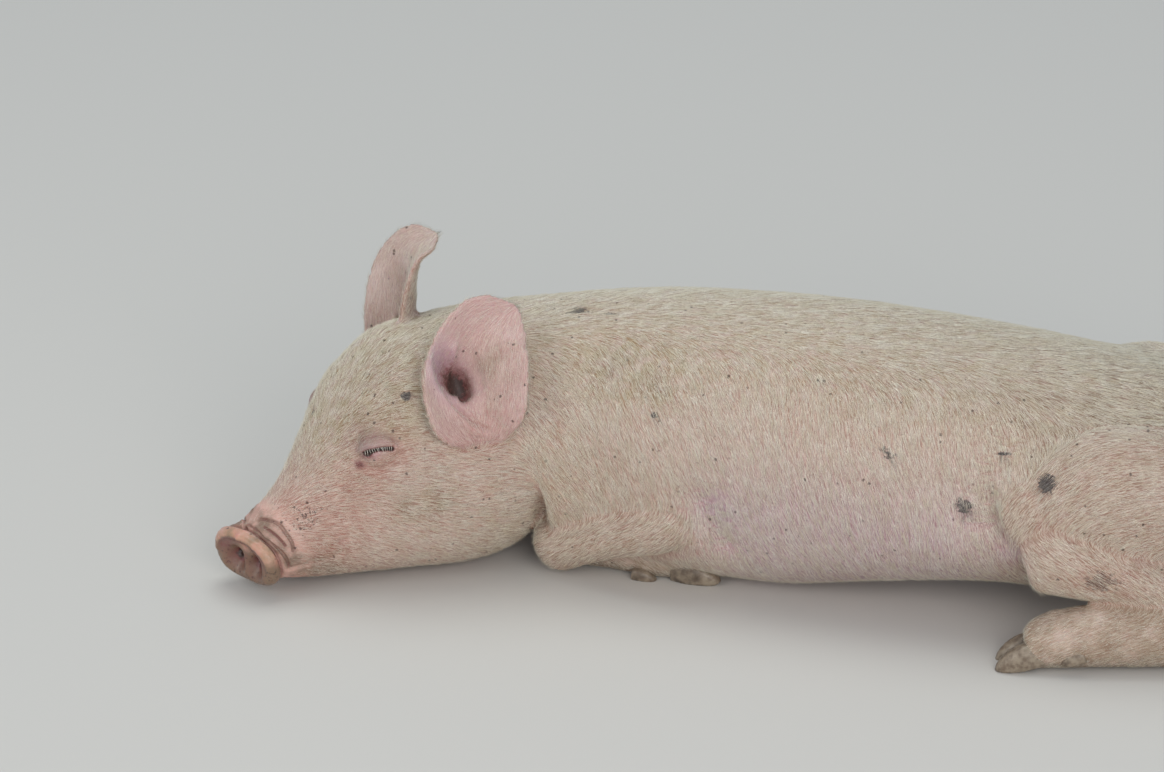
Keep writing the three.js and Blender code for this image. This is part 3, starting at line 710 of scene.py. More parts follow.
# The folds over and under the eye, each with its width, depth and lips.
LID_FOLDS = (
    (UPPER_FOLD, (1.6, 0.7, 0.3)), ((-16, 8, 9.0, 7.0), (2.2, 0.6, 0.2)),
    ((-12, 12, 13.0, 8.0), (2.0, 0.5, 0.2)), ((-12, 4, -6.5, -3.0), (1.8, 0.35, 0.1)),
)


def eye_frame(side_name):
    """The frame of an eye: forward along its slit, left out of the head, up across the lids."""
    side = SIDES[side_name]
    along, facing = (
        unit(value[0] * head.forward + value[1] * side * head.left + value[2] * head.up)
        for value in (np.array(EYE_RUN), np.array(EYE_FACING))
    )
    up = unit(np.cross(facing, along)) * side
    return Place(eyes[side_name], (along, unit(np.cross(along, up)) * side, up))


def over_ball(place, along, up):
    """Points on the closed lids so far along the slit and up from it."""
    along, up = np.asarray(along, float), np.asarray(up, float)
    reach = EYE_RADIUS + LID_THICKNESS
    out = np.sqrt(np.maximum(reach**2 - along**2 - up**2, 9))
    return place.point(along, out, up)


def eye_line(place, start, end, rise, droop, steps=9):
    """A line over the closed eye: rise is its height at the middle, droop how much its ends fall."""
    share = np.linspace(-1, 1, steps)
    along = (start + end) / 2 + share * (end - start) / 2
    return over_ball(place, along, rise - droop * share**2)


for side_name in SIDES:
    place = eye_frame(side_name)
    away = skin_points - place.origin
    distance = np.linalg.norm(away, axis=1)
    least = EYE_RADIUS + LID_THICKNESS
    outside = away @ place.left > 1
    rounded = np.log(np.exp((distance - least) / 1.2) + 1) * 1.2 + least  # never closer than the lids
    near_eye = outside & (distance < 19)
    skin_points[near_eye] += (away * ((rounded - distance) / distance)[:, None])[near_eye]
    settle()
    swelling(over_ball(place, LID_MIDDLE, 2.6), 4.0, 0.6, [(place.forward, 2.4)])
    swelling(over_ball(place, LID_MIDDLE, -5.0), 4.0, 0.5, [(place.forward, 2.2)])
    settle()
    for line, size in LID_FOLDS:
        groove(eye_line(place, *line), *size)
    settle()
    groove(eye_line(place, *SLIT, SLIT_DROOP), 1.0, 3.4, lips=0.5)
    swelling(over_ball(place, SLIT[0] + 1.8, SLIT[2] - 0.6), 1.7, -2.0)
    groove(over_ball(place, [SLIT[0], -11, -14, -16], [-1.6, -2.6, -4.6, -6.4]), 0.9, 1.0)
    settle()

# %% Snout, nostrils and mouth
NOSTRIL = {"aside": 7.4, "up": -2.6, "half": 4.4, "tall": 5.3, "deep": 7.5}
# Half of the disc's outline, left and up from its middle: behind the rim, and on its edge.
RIM_BACK = ((0, 17.3), (8, 16.8), (13, 15), (17, 12.3), (20, 8.8), (21.6, 4.5), (22, -1), (21, -6),
            (17, -11))
RIM_EDGE = ((0, 15.8), (7, 15.2), (12, 13.2), (16, 10), (18.5, 6), (19.6, 1))
CREASE_SIZES = ((0.6, 1.3, 0.4), (0.65, 1.0, 0.4), (0.55, 0.6, 0.2))  # width, depth and lips


def disc_line(front, points, side=1):
    """Points given as left and up on the snout disc, as places on one side."""
    table = np.array(points, float)
    return snout.point(front, table[:, 0] * side, table[:, 1])


def creases_of(side):
    """The three creases of the muzzle behind the disc, from the top of the bridge down one side."""
    return (
        head_line((9.8, 3, 17.2), (11.3, 9.8, 15.7), (11.4, 13, 13.6), (11.4, 15.1, 11.4), (12.9, 17.4, 9),
                  (15, 19.8, 4.4), (16.2, 21, -0.2), (16.6, 21, -5), (16.2, 20, -10), side=side),
        head_line((16.8, 7, 18.4), (20.8, 13.1, 16.5), (22.8, 16.6, 13.8), (23.3, 20.2, 8.4),
                  (23.4, 21.9, 2.7), (21.8, 22.2, -1.4), side=side),
        head_line((15.5, 12, 15.5), (17.5, 16.2, 12), (19, 19, 7.5), (19.6, 20.6, 3), side=side),
    )


swell(snout, 1, ((5, 0, 6.5, 6.5, -2.2, "left", 2.2), (5, 0, -9, 4, 0.8)))
settle()
for side in SIDES.values():
    groove(disc_line(4.2, RIM_EDGE, side), 1.5, -0.9)
    groove(disc_line(-1.8, RIM_BACK, side), 1.0, 1.5, lips=0.35)
    swell(snout, side, ((4, 14, -6, 6, 1.6),))
    settle()
    front, left, up = snout.within(skin_points)
    aside = (left - NOSTRIL["aside"] * side) / NOSTRIL["half"]
    off = np.hypot(aside, (up - NOSTRIL["up"]) / NOSTRIL["tall"])
    inside = (front > -2) & (off < 3)
    hole = NOSTRIL["deep"] * fade(off, 0.95) - 0.7 * fade(off - 1.8, 0.5)
    skin_points[inside] -= snout.forward * hole[inside][:, None]
    settle()
    # wet flesh that shows in the nostril
    swelling(snout.point(-1, (NOSTRIL["aside"] + 0.6) * side, NOSTRIL["up"] - 1.6), 2.0, 2.6)
    for crease, size in zip(creases_of(side), CREASE_SIZES):
        groove(crease, *size)
    groove(head_line((29, 13, 18.5), (30, 18, 14), (30, 21.5, 9), side=side), 1.2, 0.5, lips=0.2)
    # the mouth, the fold above its corner and the lower lip
    mouth = head_line((16, 19, -11), (21, 21, -12.6), (28, 22.6, -14), (36, 25, -15.5),
                      (43, 27.5, -15.6), side=side)
    groove(mouth, 1.2, 0.9, lips=0.2)
    groove(head_line((44, 28.3, -8.6), (47, 29.5, -8.8), (50, 30.8, -9.4), side=side), 1.1, 0.8, lips=0.2)
    # the lip, the hollow under the eye, the swell of the jowl and the brow
    swell(head, side, (
        (-36, 22, -26, 12, 1.2, "forward", 1.6), (-66, 36, 8, 16, -2.0, "forward", 1.5),
        (-112, 54, -30, 28, 2.4), (-92, 40, 44, 11, 1.4, "forward", 1.6),
    ))
settle()

# %% Inside the ears
# An ear is thin, so its hollow is pushed through from one face to the other: the dish gets deeper and
# its back rounder. Only the canal goes into the head.
CANALS = {"left": (141, 43, 38), "right": (147, 38, 50)}
for side_name, side in SIDES.items():
    back, left, up = CANALS[side_name]
    canal = head.point(-back, left * side, up)
    if side_name == "left":
        inward = unit(-0.15 * head.forward - 0.8 * head.left - 0.45 * head.up)
        push(head.point(-143, 50, 48), 14, inward * 11, stretch=[(head.up, 1.25)])
        push(head.point(-143, 42, 46), 9, inward * 7, stretch=[(head.up, 1.6)])
        push(head.point(-162, 43, 58), 13, inward * 4)
        settle()
        groove(head_line((134, 48, 66), (131, 52, 52), (132, 57, 36), (136, 61, 20)), 3.0, -2.2)
        groove(head_line((143, 44, 43), (146, 40, 52), (150, 37, 60)), 2.2, -2.6)
        groove(head_line((150, 50, 38), (153, 45, 50), (158, 42, 60)), 3.2, 1.2)
        groove(head_line((133, 50, 44), (134, 54, 32), (138, 57, 22), (145, 58, 16)), 1.5, 2.2, lips=0.8)
    else:
        push(head.point(-152, -36, 62), 14, -3 * head.forward)
    settle()
    swelling(canal, 4.6, -5.0, stretch=[(head.up, 1.5)])
    settle()
    swelling(canal, 3.4, -6.0, stretch=[(head.up, 1.4)])
    settle()
    swelling(head.point(-(back - 6.5), (left + 3) * side, up - 2), 3.2, 3.2)
settle()

# %% Flat where the pig lies
FLOOR_GAP = 0.3
skin_points[:, 2] = np.maximum(skin_points[:, 2], FLOOR_GAP)
settle()
print("the skin has", len(skin.data.polygons), "triangles")

# %% [markdown]
# ## Where colours change
# A white pig is never white. Blood shows through at the ears, lids, snout and feet, grease and dust
# turn the forehead and shoulders cream, and dirt sits on muzzle, knees and ear canals. Painted shade
# darkens the ears' hollows, the nostrils, the eye slits, the creases, the snout's face and the rump,
# and a lilac painted shade lies low on the belly, behind the elbows and in the groin. Each of these is
# a number at every point of the skin, which the hairs take over from their roots. Noise in the
# material breaks up their edges.

# %% Regions of the skin
front, left, up = head.within(skin_points)
trunk_along = trunk.within(skin_points)[0]
height = skin_points[:, 2]
normal_z = skin_normals[:, 2]
snout_front, snout_left, snout_up = snout.within(skin_points)
on_body = on_parts(part, "body")
on_head = (on_body & (along > 0.53)) | on_parts(part, "ear_root", "disc")
on_torso = on_body & ~on_head
on_ear = on_parts(part, "ear_left", "ear_right")
on_right_ear = on_parts(part, "ear_right")
on_leg = on_parts(part, "foreleg", "hindleg")
on_foot = np.isin(part, [k for k, name in enumerate(PARTS) if name.endswith("_foot")])
on_disc = on_parts(part, "disc")
in_ear = on_ear & (turn > 0.5)
for side_name, side in SIDES.items():
    back, out, rise = CANALS[side_name]
    ear_middle = head.point(-back - 2, out * side, rise + 6)
    in_ear |= ~on_ear & (np.linalg.norm(skin_points - ear_middle, axis=1) < 15)
in_left_ear = in_ear & (left > 0)
ear_rim = on_ear & (np.abs(np.sin(turn * 2 * math.pi)) < 0.35)


def ramp(values, low, high):
    """0 below low, 1 above high and smooth between; high may be the smaller."""
    share = np.clip((values - low) / (high - low), 0, 1)
    return share * share * (3 - 2 * share)


def on_skin(place):
    """The skin's point nearest to a place."""
    return skin_points[np.linalg.norm(skin_points - place, axis=1).argmin()]


def along_line(line, width):
    """1 on a line over the skin, fading out at about twice the width."""
    return fade(distance_to_line(line, skin_points, skin_normals), width)


within_rim = ramp(np.hypot(snout_left / 20, (snout_up - 1) / 15.5), 1, 0.85)
on_face = on_disc * ramp(snout_front, 1.5, 4) * within_rim

# %% Masks of whole regions
masks = {
    # blood under thin skin
    "flush": 0.14 + 0.06 * on_ear + 0.04 * in_ear + 0.36 * in_left_ear + 0.16 * ear_rim * on_right_ear
    + 0.18 * ramp(normal_z, 0.3, -0.5) * on_body + 0.45 * ramp(front, -62, -12) * (on_head | on_disc)
    + 0.50 * ramp(snout_front, -5, 0) * ramp(snout_up + 0.4 * np.abs(snout_left), 2, 10) * on_disc
    + 0.10 * on_foot + 0.05 * on_leg
    + (0.44 + 0.45 * (snout_front > -2.5) * ramp(snout_up, 2, 8)) * on_disc,
    # cream grease and dust
    "yellow": 0.95 * ramp(up, 18, 46) * on_head * ramp(front, -34, -75)
    + 0.75 * ramp(normal_z, 0.4, 0.9) * on_torso
    + 0.3 * ramp(trunk_along, 20, 110) * ramp(height, 125, 60) * on_torso
    + 0.3 * on_leg + 0.42 * on_disc,
    # lilac painted shade inside the ears and low on the body between the legs, and a lilac tint round the
    # eyes
    "lilac_tint_and_shade": 0.25 * (in_ear & (turn > 0.5))
    + 0.9 * on_body * ramp(height, 112, 50) * ramp(trunk_along, -150, -100) * ramp(trunk_along, 60, 0),
    # fine dust, and painted shade over the rump and the upward-facing back in front of it; it darkens the
    # skin and leaves no edge
    "dust_and_shade": 0.90 * on_foot + 0.38 * on_leg + 0.35 * on_right_ear
    + 0.72 * ramp(trunk_along, -105, -190) * ~on_foot * on_body
    + 0.40 * ramp(normal_z, 0.55, 0.9) * on_torso * ramp(trunk_along, 0, -90),
    # dirt, darker near the floor; on the snout disc, dirt and painted shade darken its face and lower part
    "grime_and_shade": 0.38 * ramp(front, -34, -20) * ~on_disc * on_head + 0.25 * ramp(height, 9, 2)
    + (0.30 * ramp(height, 22, 5) + 0.16) * on_foot + 0.62 * on_face
    + (0.36 * ramp(snout_front, 0, -4) + 0.36 + 0.35 * ramp(snout_up, 9, 1)) * on_disc,
    # the pig's own small dark spots
    "spot": np.zeros(len(skin_points)),
    # scattered specks of mud
    "speck": 0.04 + 0.6 * on_disc * ramp(snout_up, 6, 0) + 0.10 * on_ear + 0.06 * on_head,
    # wet bare skin
    "bare": on_disc * ramp(snout_front, -7, -2),
    # rough raw skin where hock and elbow rub
    "raw": np.zeros(len(skin_points)),
    # painted shade in the hollows of the ears, the nostrils, the slits of the eyes, the creases and folds,
    # and on the snout's face under its rim; beside the eyes also the stain of tears
    "deep": (0.28 + 0.4 * ramp(snout_up, -2, 6)) * on_face,
}
MOST = {"deep": 1.6}  # the others end at 1

# %% Patches on the masks
# Mask, amount, then forward, out and up in the frame, reach, and any way and factor of stretch. Rows
# of BOTH are laid on either side, and those of ONCE only where they say, negative being the right.
# Beside the mouth, painted shade lies in the fold above its corner.
HEAD_BOTH = (
    ("flush", 0.50, -70, 36, 22, 13), ("flush", 0.50, -40, 26, -10, 13), ("flush", 0.40, -56, 34, 6, 20),
    ("flush", 0.15, -112, 56, 0, 26), ("flush", 0.2, -140, 56, 10, 14), ("lilac_tint_and_shade", 0.35, -80, 36, 40, 12),
    ("dust_and_shade", 1.0, -99, 51, -8, 10), ("dust_and_shade", 0.7, -84, 46, -4, 7), ("dust_and_shade", 0.8, -34, 22, -22, 14),
    ("dust_and_shade", 0.4, -80, 36, 44, 9), ("grime_and_shade", 0.50, -34, 22, -22, 13), ("grime_and_shade", 0.30, -20, 20, -8, 5),
    ("grime_and_shade", 0.25, -45, 28.5, -8.8, 3.5), ("deep", 0.7, -47, 29.5, -9.2, 2.6),
)
HEAD_ONCE = (
    ("yellow", 0.8, -99, 50, -8, 10), ("yellow", 0.5, -84, 46, -4, 8), ("yellow", 0.5, -128, 50, -44, 24),
    ("dust_and_shade", 0.62, -112, 28, 56, 27), ("dust_and_shade", 0.5, -128, 44, -52, 22), ("grime_and_shade", 0.20, -13, 12, 14, 7),
    ("speck", 1.3, -36, 23, 12, 9), ("speck", 0.3, -52, 24, 30, 14), ("speck", 0.5, -24, 10, 18, 7),
    ("speck", 0.5, -46, 29, -8, 4),
)
# The left ear's hollow and canal get painted shade, lilac to wine red.
LEFT_EAR = (
    ("flush", 0.65, -143, 45, 54, 12), ("flush", 0.42, -142, 60, 22, 14), ("dust_and_shade", 1.0, -166, 50, 40, 17),
    ("lilac_tint_and_shade", 0.9, -140, 48, 54, 11, "up", 1.4), ("dust_and_shade", 0.3, -142, 60, 22, 14),
    ("deep", 0.42, -142, 42, 48, 11, "up", 1.6), ("deep", 1.25, -141, 36, 37, 8.5, "up", 1.5),
    ("deep", 0.3, -134, 44, 52, 7, "up", 2.4),
)
# painted shade inside the right ear
RIGHT_EAR = (("deep", 0.4, -150, -32, 70, 13, "up", 1.6),)
# On the trunk, lilac painted shade lies behind the elbow and in the gap before the knee.
TRUNK_BOTH = (
    ("lilac_tint_and_shade", 0.9, 27, 79, 62, 11), ("lilac_tint_and_shade", 1.0, -141, 84, 56, 13), ("dust_and_shade", 0.8, 92, 52, 124, 12),
    ("dust_and_shade", 0.8, 65, 58, 122, 9), ("grime_and_shade", 0.40, 128, 61, 30, 13),
)
TRUNK_ONCE = (
    ("yellow", 0.8, 92, 52, 124, 20), ("yellow", 0.8, 65, 58, 122, 16), ("yellow", 0.5, 118, 58, 75, 26),
    ("speck", 0.15, 120, 62, 60, 30), ("flush", 0.4, -192, 93, 54, 14, "forward", 1.5),
    ("raw", 0.85, -192, 93, 54, 8.5, "forward", 1.6), ("raw", 0.6, -190, -92, 59, 6),
    ("raw", 0.5, 128, 61, 30, 5),
)
LIDS = (  # in the eye's own frame
    ("flush", 0.80, LID_MIDDLE, 11, 0, 13, "forward", 1.4), ("grime_and_shade", 0.40, -15, 6.5, -8, 4),
    ("deep", 0.46, LID_MIDDLE, 10, 2.5, 7.5, "forward", 1.8),
    ("dust_and_shade", 0.55, LID_MIDDLE, 9, 7, 9, "forward", 1.6),
    ("lilac_tint_and_shade", 0.5, LID_MIDDLE, 10, 1, 7, "forward", 1.6),
    ("flush", 0.3, LID_MIDDLE, 10, -1, 9, "forward", 1.5),
)
# Small dark spots: forward, out, up and radius.
TRUNK_SPOTS = (
    (-69.7, 73.9, 106.8, 3.4), (-112, 80, 82.8, 4.2), (-158.5, 77.7, 100.8, 5.0),
    (-131.3, 69.4, 110.6, 2.2), (-80, 11.4, 145, 2.0), (62.7, 67.7, 108.8, 1.8), (-25.4, 72, 109.3, 1.8),
    (46.6, 30.3, 142.3, 1.8), (13, 2.2, 148, 2.4), (-12.2, -28.6, 144, 3.4), (126, 12.5, 140, 3.0),
    (105, 15.3, 141.3, 2.2), (-90, -76, 92, 3.4), (-30, -72, 108, 2.2), (60, -68, 100, 2.6),
    (-180, -66, 96, 3.0),
)
HEAD_SPOTS = ((-114, 39.4, 51.2, 2.3), (-72.7, -9, 48.5, 1.5), (-96, -22, 56, 1.8))


def lay(place, side, rows, where=1.0):
    """Adds soft patches to the masks."""
    for name, amount, ahead, out, rise, reach, *stretch in rows:
        patch_here = share_near(place.point(ahead, out * side, rise), reach, stretch_of(place, stretch))
        masks[name] += amount * where * patch_here


for side_name, side in SIDES.items():
    lids = eye_frame(side_name)
    lay(head, side, HEAD_BOTH)
    lay(trunk, side, TRUNK_BOTH)
    lay(lids, 1, LIDS)
    # painted shade in the slit of the eye, its inner corner and the fold over it, and the stain of the
    # trail of tears
    masks["deep"] += 1.8 * along_line(eye_line(lids, *SLIT, SLIT_DROOP), 1.15)
    masks["deep"] += 0.16 * along_line(eye_line(lids, *UPPER_FOLD), 2.2)
    masks["deep"] += 1.4 * share_near(on_skin(over_ball(lids, SLIT[0] + 1.8, SLIT[2] - 0.6)), 2.2)
    masks["deep"] += 1.0 * share_near(on_skin(lids.point(-14, 5, -9.6)), 2.9, [(lids.forward, 1.4)])
    masks["deep"] += 0.45 * share_near(on_skin(lids.point(-13, 7, -5)), 2.6)
    masks["bare"] += 0.8 * share_near(over_ball(lids, LID_MIDDLE, -1.5), 3.4, [(lids.forward, 2.6)])
    # the canal of the ear
    back, out, rise = CANALS[side_name]
    canal = head.point(-back - 1, (out - 1) * side, rise)
    masks["grime_and_shade"] += 0.85 * share_near(canal, 7.5, [(head.up, 1.5)])
    masks["bare"] += 0.8 * share_near(head.point(-back, out * side, rise), 6)
    # painted shade in the nostril, the creases and the groove behind the rim, and dirt along the creases
    nostril = snout.point(-2, NOSTRIL["aside"] * side, NOSTRIL["up"])
    masks["deep"] += 1.5 * share_near(nostril, 4.4, [(snout.forward, 2.5)]) * on_disc
    for crease in creases_of(side):
        masks["deep"] += 0.75 * along_line(crease, 0.6)
        masks["grime_and_shade"] += 0.22 * along_line(crease, 2.2)
    masks["deep"] += 0.6 * along_line(disc_line(-1.8, RIM_BACK, side), 0.7)
lay(head, 1, HEAD_ONCE)
lay(trunk, 1, TRUNK_ONCE)
lay(head, 1, LEFT_EAR, in_left_ear)
lay(head, 1, RIGHT_EAR, in_ear)
for place, spots, spread_by in ((trunk, TRUNK_SPOTS, 1.45), (head, HEAD_SPOTS, 1.5)):
    for ahead, out, rise, radius in spots:
        masks["spot"] += share_near(place.point(ahead, out, rise), radius * spread_by)
for name in masks:
    masks[name] = np.clip(masks[name], 0, MOST.get(name, 1)).astype(np.float32)
print({name: round(float(values.mean()), 3) for name, values in masks.items()})


def give_numbers(piece, table):
    """Stores a number per point of a piece under each name."""
    for name, values in table.items():
        layer = piece.data.attributes.new(name, "FLOAT", "POINT")
        layer.data.foreach_set("value", np.asarray(values, np.float32))


give_numbers(skin, masks)

# %% [markdown]
# ## The pig's colouring as one node group
# Skin and hair carry the same markings, so both materials take their colour from one group. It lays
# the colours over each other from pale skin to mud, and lets noise decide where a soft mask ends. The
# group also gives the height of pores and fine creases, which the skin's bump uses.

# %% Small helpers for nodes


class Nodes:
    """Adds nodes to a tree and wires them up."""

    def __init__(self, tree):
        self.tree = tree

    def add(self, kind, inputs=(), **settings):
        """A node with its settings, and with values or links on its inputs."""
        node = self.tree.nodes.new(kind)
        for key, value in settings.items():
            setattr(node, key, value)
        for key, value in dict(inputs).items():
            if isinstance(value, bpy.types.NodeSocket):
                self.tree.links.new(value, node.inputs[key])
            else:
                node.inputs[key].default_value = value
        return node

    def sum(self, operation, a, b=0.0, clamp=True):
        """A maths node's result."""
        return self.add("ShaderNodeMath", {0: a, 1: b}, operation=operation, use_clamp=clamp).outputs[0]

    def times(self, a, b, clamp=True):
        """The product of two values."""
        return self.sum("MULTIPLY", a, b, clamp)

    def plus(self, a, b, clamp=False):
        """The sum of two values."""
        return self.sum("ADD", a, b, clamp)

    def frayed(self, name, noise, middle, strength, clamp=False):
        """A number stored on the mesh, its soft edge broken up by noise."""
        offset = self.times(self.sum("SUBTRACT", noise, middle, False), strength, False)
        return self.plus(self.number(name), offset, clamp)

    def mix(self, share, a, b, blend="MIX"):
        """Two colours mixed."""
        inputs = {0: share, 6: a, 7: b}
        return self.add("ShaderNodeMix", inputs, data_type="RGBA", blend_type=blend).outputs[2]

    def ease(self, value, low, high):
        """A value turned into 0 to 1 between two limits."""
        inputs = {"Value": value, "From Min": low, "From Max": high}
        return self.add("ShaderNodeMapRange", inputs, interpolation_type="SMOOTHSTEP").outputs[0]

    def number(self, name):
        """The number stored on the mesh under a name."""
        return self.add("ShaderNodeAttribute", attribute_name=name).outputs["Fac"]

    def here(self):
        """The place on the pig, in its own coordinates."""
        return self.add("ShaderNodeTexCoord").outputs["Object"]

    def noise(self, scale, detail=4, rough=0.55, place=None):
        """Noise of so many lumps per metre."""
        inputs = {"Vector": place or self.here(), "Scale": scale, "Detail": detail, "Roughness": rough}
        return self.add("ShaderNodeTexNoise", inputs).outputs["Fac"]

    def bump(self, relief, strength):
        """A bump of at most 0.4 mm from a relief of 0 to 1."""
        inputs = {"Height": relief, "Strength": strength, "Distance": 0.4 * MM}
        return self.add("ShaderNodeBump", inputs).outputs["Normal"]

    def feed(self, value, shader, name):
        """Wires a value to one of the shader's sockets."""
        self.tree.links.new(value, shader.inputs[name])


def srgb(red, green, blue):
    """A colour given as 0 to 255 per channel, as the renderer counts it."""
    parts = [value / 255 for value in (red, green, blue)]
    return (*(v / 12.92 if v < 0.04 else ((v + 0.055) / 1.055) ** 2.4 for v in parts), 1)


# %% The nap
# Hair too short and flat to be built stands in the skin's bump: noise averaged over a few steps along
# the lie of the coat makes streaks that run with it.
NAP_STEPS = (-1.5, -1.0, -0.5, 0.0, 0.5, 1.0, 1.5)
nap = bpy.data.node_groups.new("nap", "ShaderNodeTree")
nap.interface.new_socket("Streaks", in_out="OUTPUT", socket_type="NodeSocketFloat")
n = Nodes(nap)
group_out = n.add("NodeGroupOutput")
here = n.here()
lie_here = n.add("ShaderNodeAttribute", attribute_name="lie").outputs["Vector"]
streaks = 0.0
for step in NAP_STEPS:
    moved = n.add("ShaderNodeVectorMath", {0: lie_here, 3: step * MM}, operation="SCALE").outputs[0]
    moved = n.add("ShaderNodeVectorMath", {0: here, 1: moved}, operation="ADD").outputs[0]
    streaks = n.plus(streaks, n.noise(1900, 1, 0.5, place=moved))
streaks = n.ease(n.sum("DIVIDE", streaks, float(len(NAP_STEPS)), False), 0.42, 0.58)
n.feed(streaks, group_out, "Streaks")

# %% The markings
PALE = srgb(226, 204, 192)
PINK = srgb(218, 172, 158)
RED = srgb(188, 124, 104)
CREAM = srgb(192, 174, 128)
LILAC = srgb(214, 188, 216)
DUST_AND_SHADE = srgb(140, 119, 90)
MUD_AND_SHADE = srgb(112, 92, 74)
SLATE = srgb(66, 64, 70)
SCAB = srgb(126, 92, 76)
SPECK_AND_DARKEST_SHADE = srgb(66, 52, 46)
WINE = srgb(122, 68, 66)
HAIR = srgb(252, 247, 231)

markings = bpy.data.node_groups.new("markings", "ShaderNodeTree")
markings.interface.new_socket("Hair Share", in_out="INPUT", socket_type="NodeSocketFloat")
markings.interface.new_socket("Colour", in_out="OUTPUT", socket_type="NodeSocketColor")
markings.interface.new_socket("Height", in_out="OUTPUT", socket_type="NodeSocketFloat")
n = Nodes(markings)
group_in = n.add("NodeGroupInput")
group_out = n.add("NodeGroupOutput")
blotch = n.noise(55, 5)
patch = n.noise(150, 3)
grain = n.noise(900, 3)
pinkness = n.frayed("flush", blotch, 0.5, 0.9, clamp=True)
colour = n.mix(n.ease(pinkness, 0.0, 0.62), PALE, PINK)
colour = n.mix(n.ease(pinkness, 0.62, 1.25), colour, RED)
colour = n.mix(n.times(n.number("yellow"), n.ease(patch, 0.25, 0.7)), colour, CREAM)
# lilac painted shade, and a lilac tint round the eyes
colour = n.mix(n.times(n.number("lilac_tint_and_shade"), 0.8), colour, LILAC)
# fine dust, and painted shade over the rump and back
dusted_and_shaded = n.times(n.number("dust_and_shade"), n.ease(blotch, 0.2, 0.6))
colour = n.mix(n.times(dusted_and_shaded, 0.75), colour, DUST_AND_SHADE)
# mud and dirt, which on the snout disc is also painted shade
muddied_and_shaded = n.frayed("grime_and_shade", patch, 0.55, 0.9)
colour = n.mix(n.times(n.ease(muddied_and_shaded, 0.15, 0.75), 0.85), colour, MUD_AND_SHADE)
rough_skin = n.frayed("raw", n.noise(420, 4), 0.5, 1.3)
colour = n.mix(n.ease(rough_skin, 0.45, 0.7), colour, SCAB)
ragged = n.frayed("spot", n.noise(700, 3), 0.5, 0.7)
colour = n.mix(n.times(n.ease(ragged, 0.42, 0.62), 0.95), colour, SLATE)
# specks of mud: some cells of a pattern hold a grain, and crumbs of noise lie between them
cell_inputs = {"Vector": n.here(), "Scale": 290.0, "Randomness": 1.0}
speck_cells = n.add("ShaderNodeTexVoronoi", cell_inputs)
cell_choice = n.add("ShaderNodeSeparateColor", {"Color": speck_cells.outputs["Color"]}).outputs[0]
chosen = n.ease(n.plus(cell_choice, n.times(n.number("speck"), 0.4), True), 0.975, 0.985)
grain_size = n.times(chosen, n.times(n.noise(1300, 2), 0.56))
edge_inputs = {"Value": speck_cells.outputs["Distance"], "From Min": grain_size,
               "From Max": n.times(grain_size, 0.7)}
grain_edge = n.add("ShaderNodeMapRange", edge_inputs).outputs[0]
speck_share = n.times(n.times(grain_edge, chosen), 0.8)
crumb = n.plus(n.noise(620, 3, 0.7), n.times(n.number("speck"), 0.16))
speck_share = n.sum("MAXIMUM", speck_share, n.times(n.ease(crumb, 0.715, 0.745), 0.85))
colour = n.mix(speck_share, colour, SPECK_AND_DARKEST_SHADE)
# painted shade and the stain of tears are wine red, and nearly black where they are deepest
dark = n.times(n.number("deep"), n.plus(0.45, n.times(n.noise(500, 3), 1.1)), False)
colour = n.mix(n.ease(dark, 0.0, 1.1), colour, WINE)
darkest = n.ease(n.plus(dark, n.times(patch, 0.5)), 1.05, 1.5)
colour = n.mix(n.times(darkest, 0.9), colour, SPECK_AND_DARKEST_SHADE)
# hair whitens the skin, but not where it is dark, spotted or muddy
hidden = n.sum("MAXIMUM", n.times(dark, 0.7), n.times(n.ease(ragged, 0.35, 0.6), 0.75))
hidden = n.sum("MAXIMUM", hidden, n.times(speck_share, 0.9))
hair_share = n.times(group_in.outputs["Hair Share"], n.sum("SUBTRACT", 1.0, hidden))
n.feed(n.mix(hair_share, colour, HAIR), group_out, "Colour")
crease_inputs = {"Vector": n.here(), "Scale": 1000.0}
creases = n.add("ShaderNodeTexVoronoi", crease_inputs, feature="DISTANCE_TO_EDGE").outputs["Distance"]
fine = n.plus(n.times(n.ease(creases, 0.0, 0.25), 0.5), n.times(grain, 0.5), True)
rubbed = n.plus(speck_share, n.ease(rough_skin, 0.45, 0.8), True)
n.feed(n.plus(fine, n.times(rubbed, 0.6)), group_out, "Height")


# %% Skin material
def finish_of(name):
    """A new material, its nodes and its shader."""
    material = bpy.data.materials.new(name)
    material.use_nodes = True
    nodes = Nodes(material.node_tree)
    return material, nodes, material.node_tree.nodes["Principled BSDF"]


skin_material, n, shader = finish_of("pig_skin")
look = n.add("ShaderNodeGroup", node_tree=markings)
streaks = n.add("ShaderNodeGroup", node_tree=nap).outputs["Streaks"]
nap_here = n.times(streaks, n.number("nap"))
n.feed(n.times(nap_here, 0.45), look, "Hair Share")
# painted shade on the skin under the nap, darkest between its streaks
between = n.times(n.sum("SUBTRACT", 1.0, streaks), n.number("nap"))
shade_under_nap_share = n.times(n.number("nap"), n.plus(0.45, n.times(between, 0.55), True))
shade_under_nap = n.mix(shade_under_nap_share, (1, 1, 1, 1), srgb(188, 166, 160))
n.feed(n.mix(1.0, look.outputs["Colour"], shade_under_nap, "MULTIPLY"), shader, "Base Color")
wetness = n.number("bare")
n.feed(n.sum("SUBTRACT", 0.62, n.times(wetness, 0.3)), shader, "Roughness")
n.feed(n.times(wetness, 0.35), shader, "Coat Weight")
n.feed(n.bump(n.plus(n.times(look.outputs["Height"], 0.5), nap_here), 0.5), shader, "Normal")
shader.inputs["Subsurface Weight"].default_value = 0.12
shader.inputs["Subsurface Radius"].default_value = (1.0, 0.35, 0.2)
shader.inputs["Subsurface Scale"].default_value = 0.004
shader.inputs["Specular IOR Level"].default_value = 0.4
shader.inputs["Coat Roughness"].default_value = 0.25
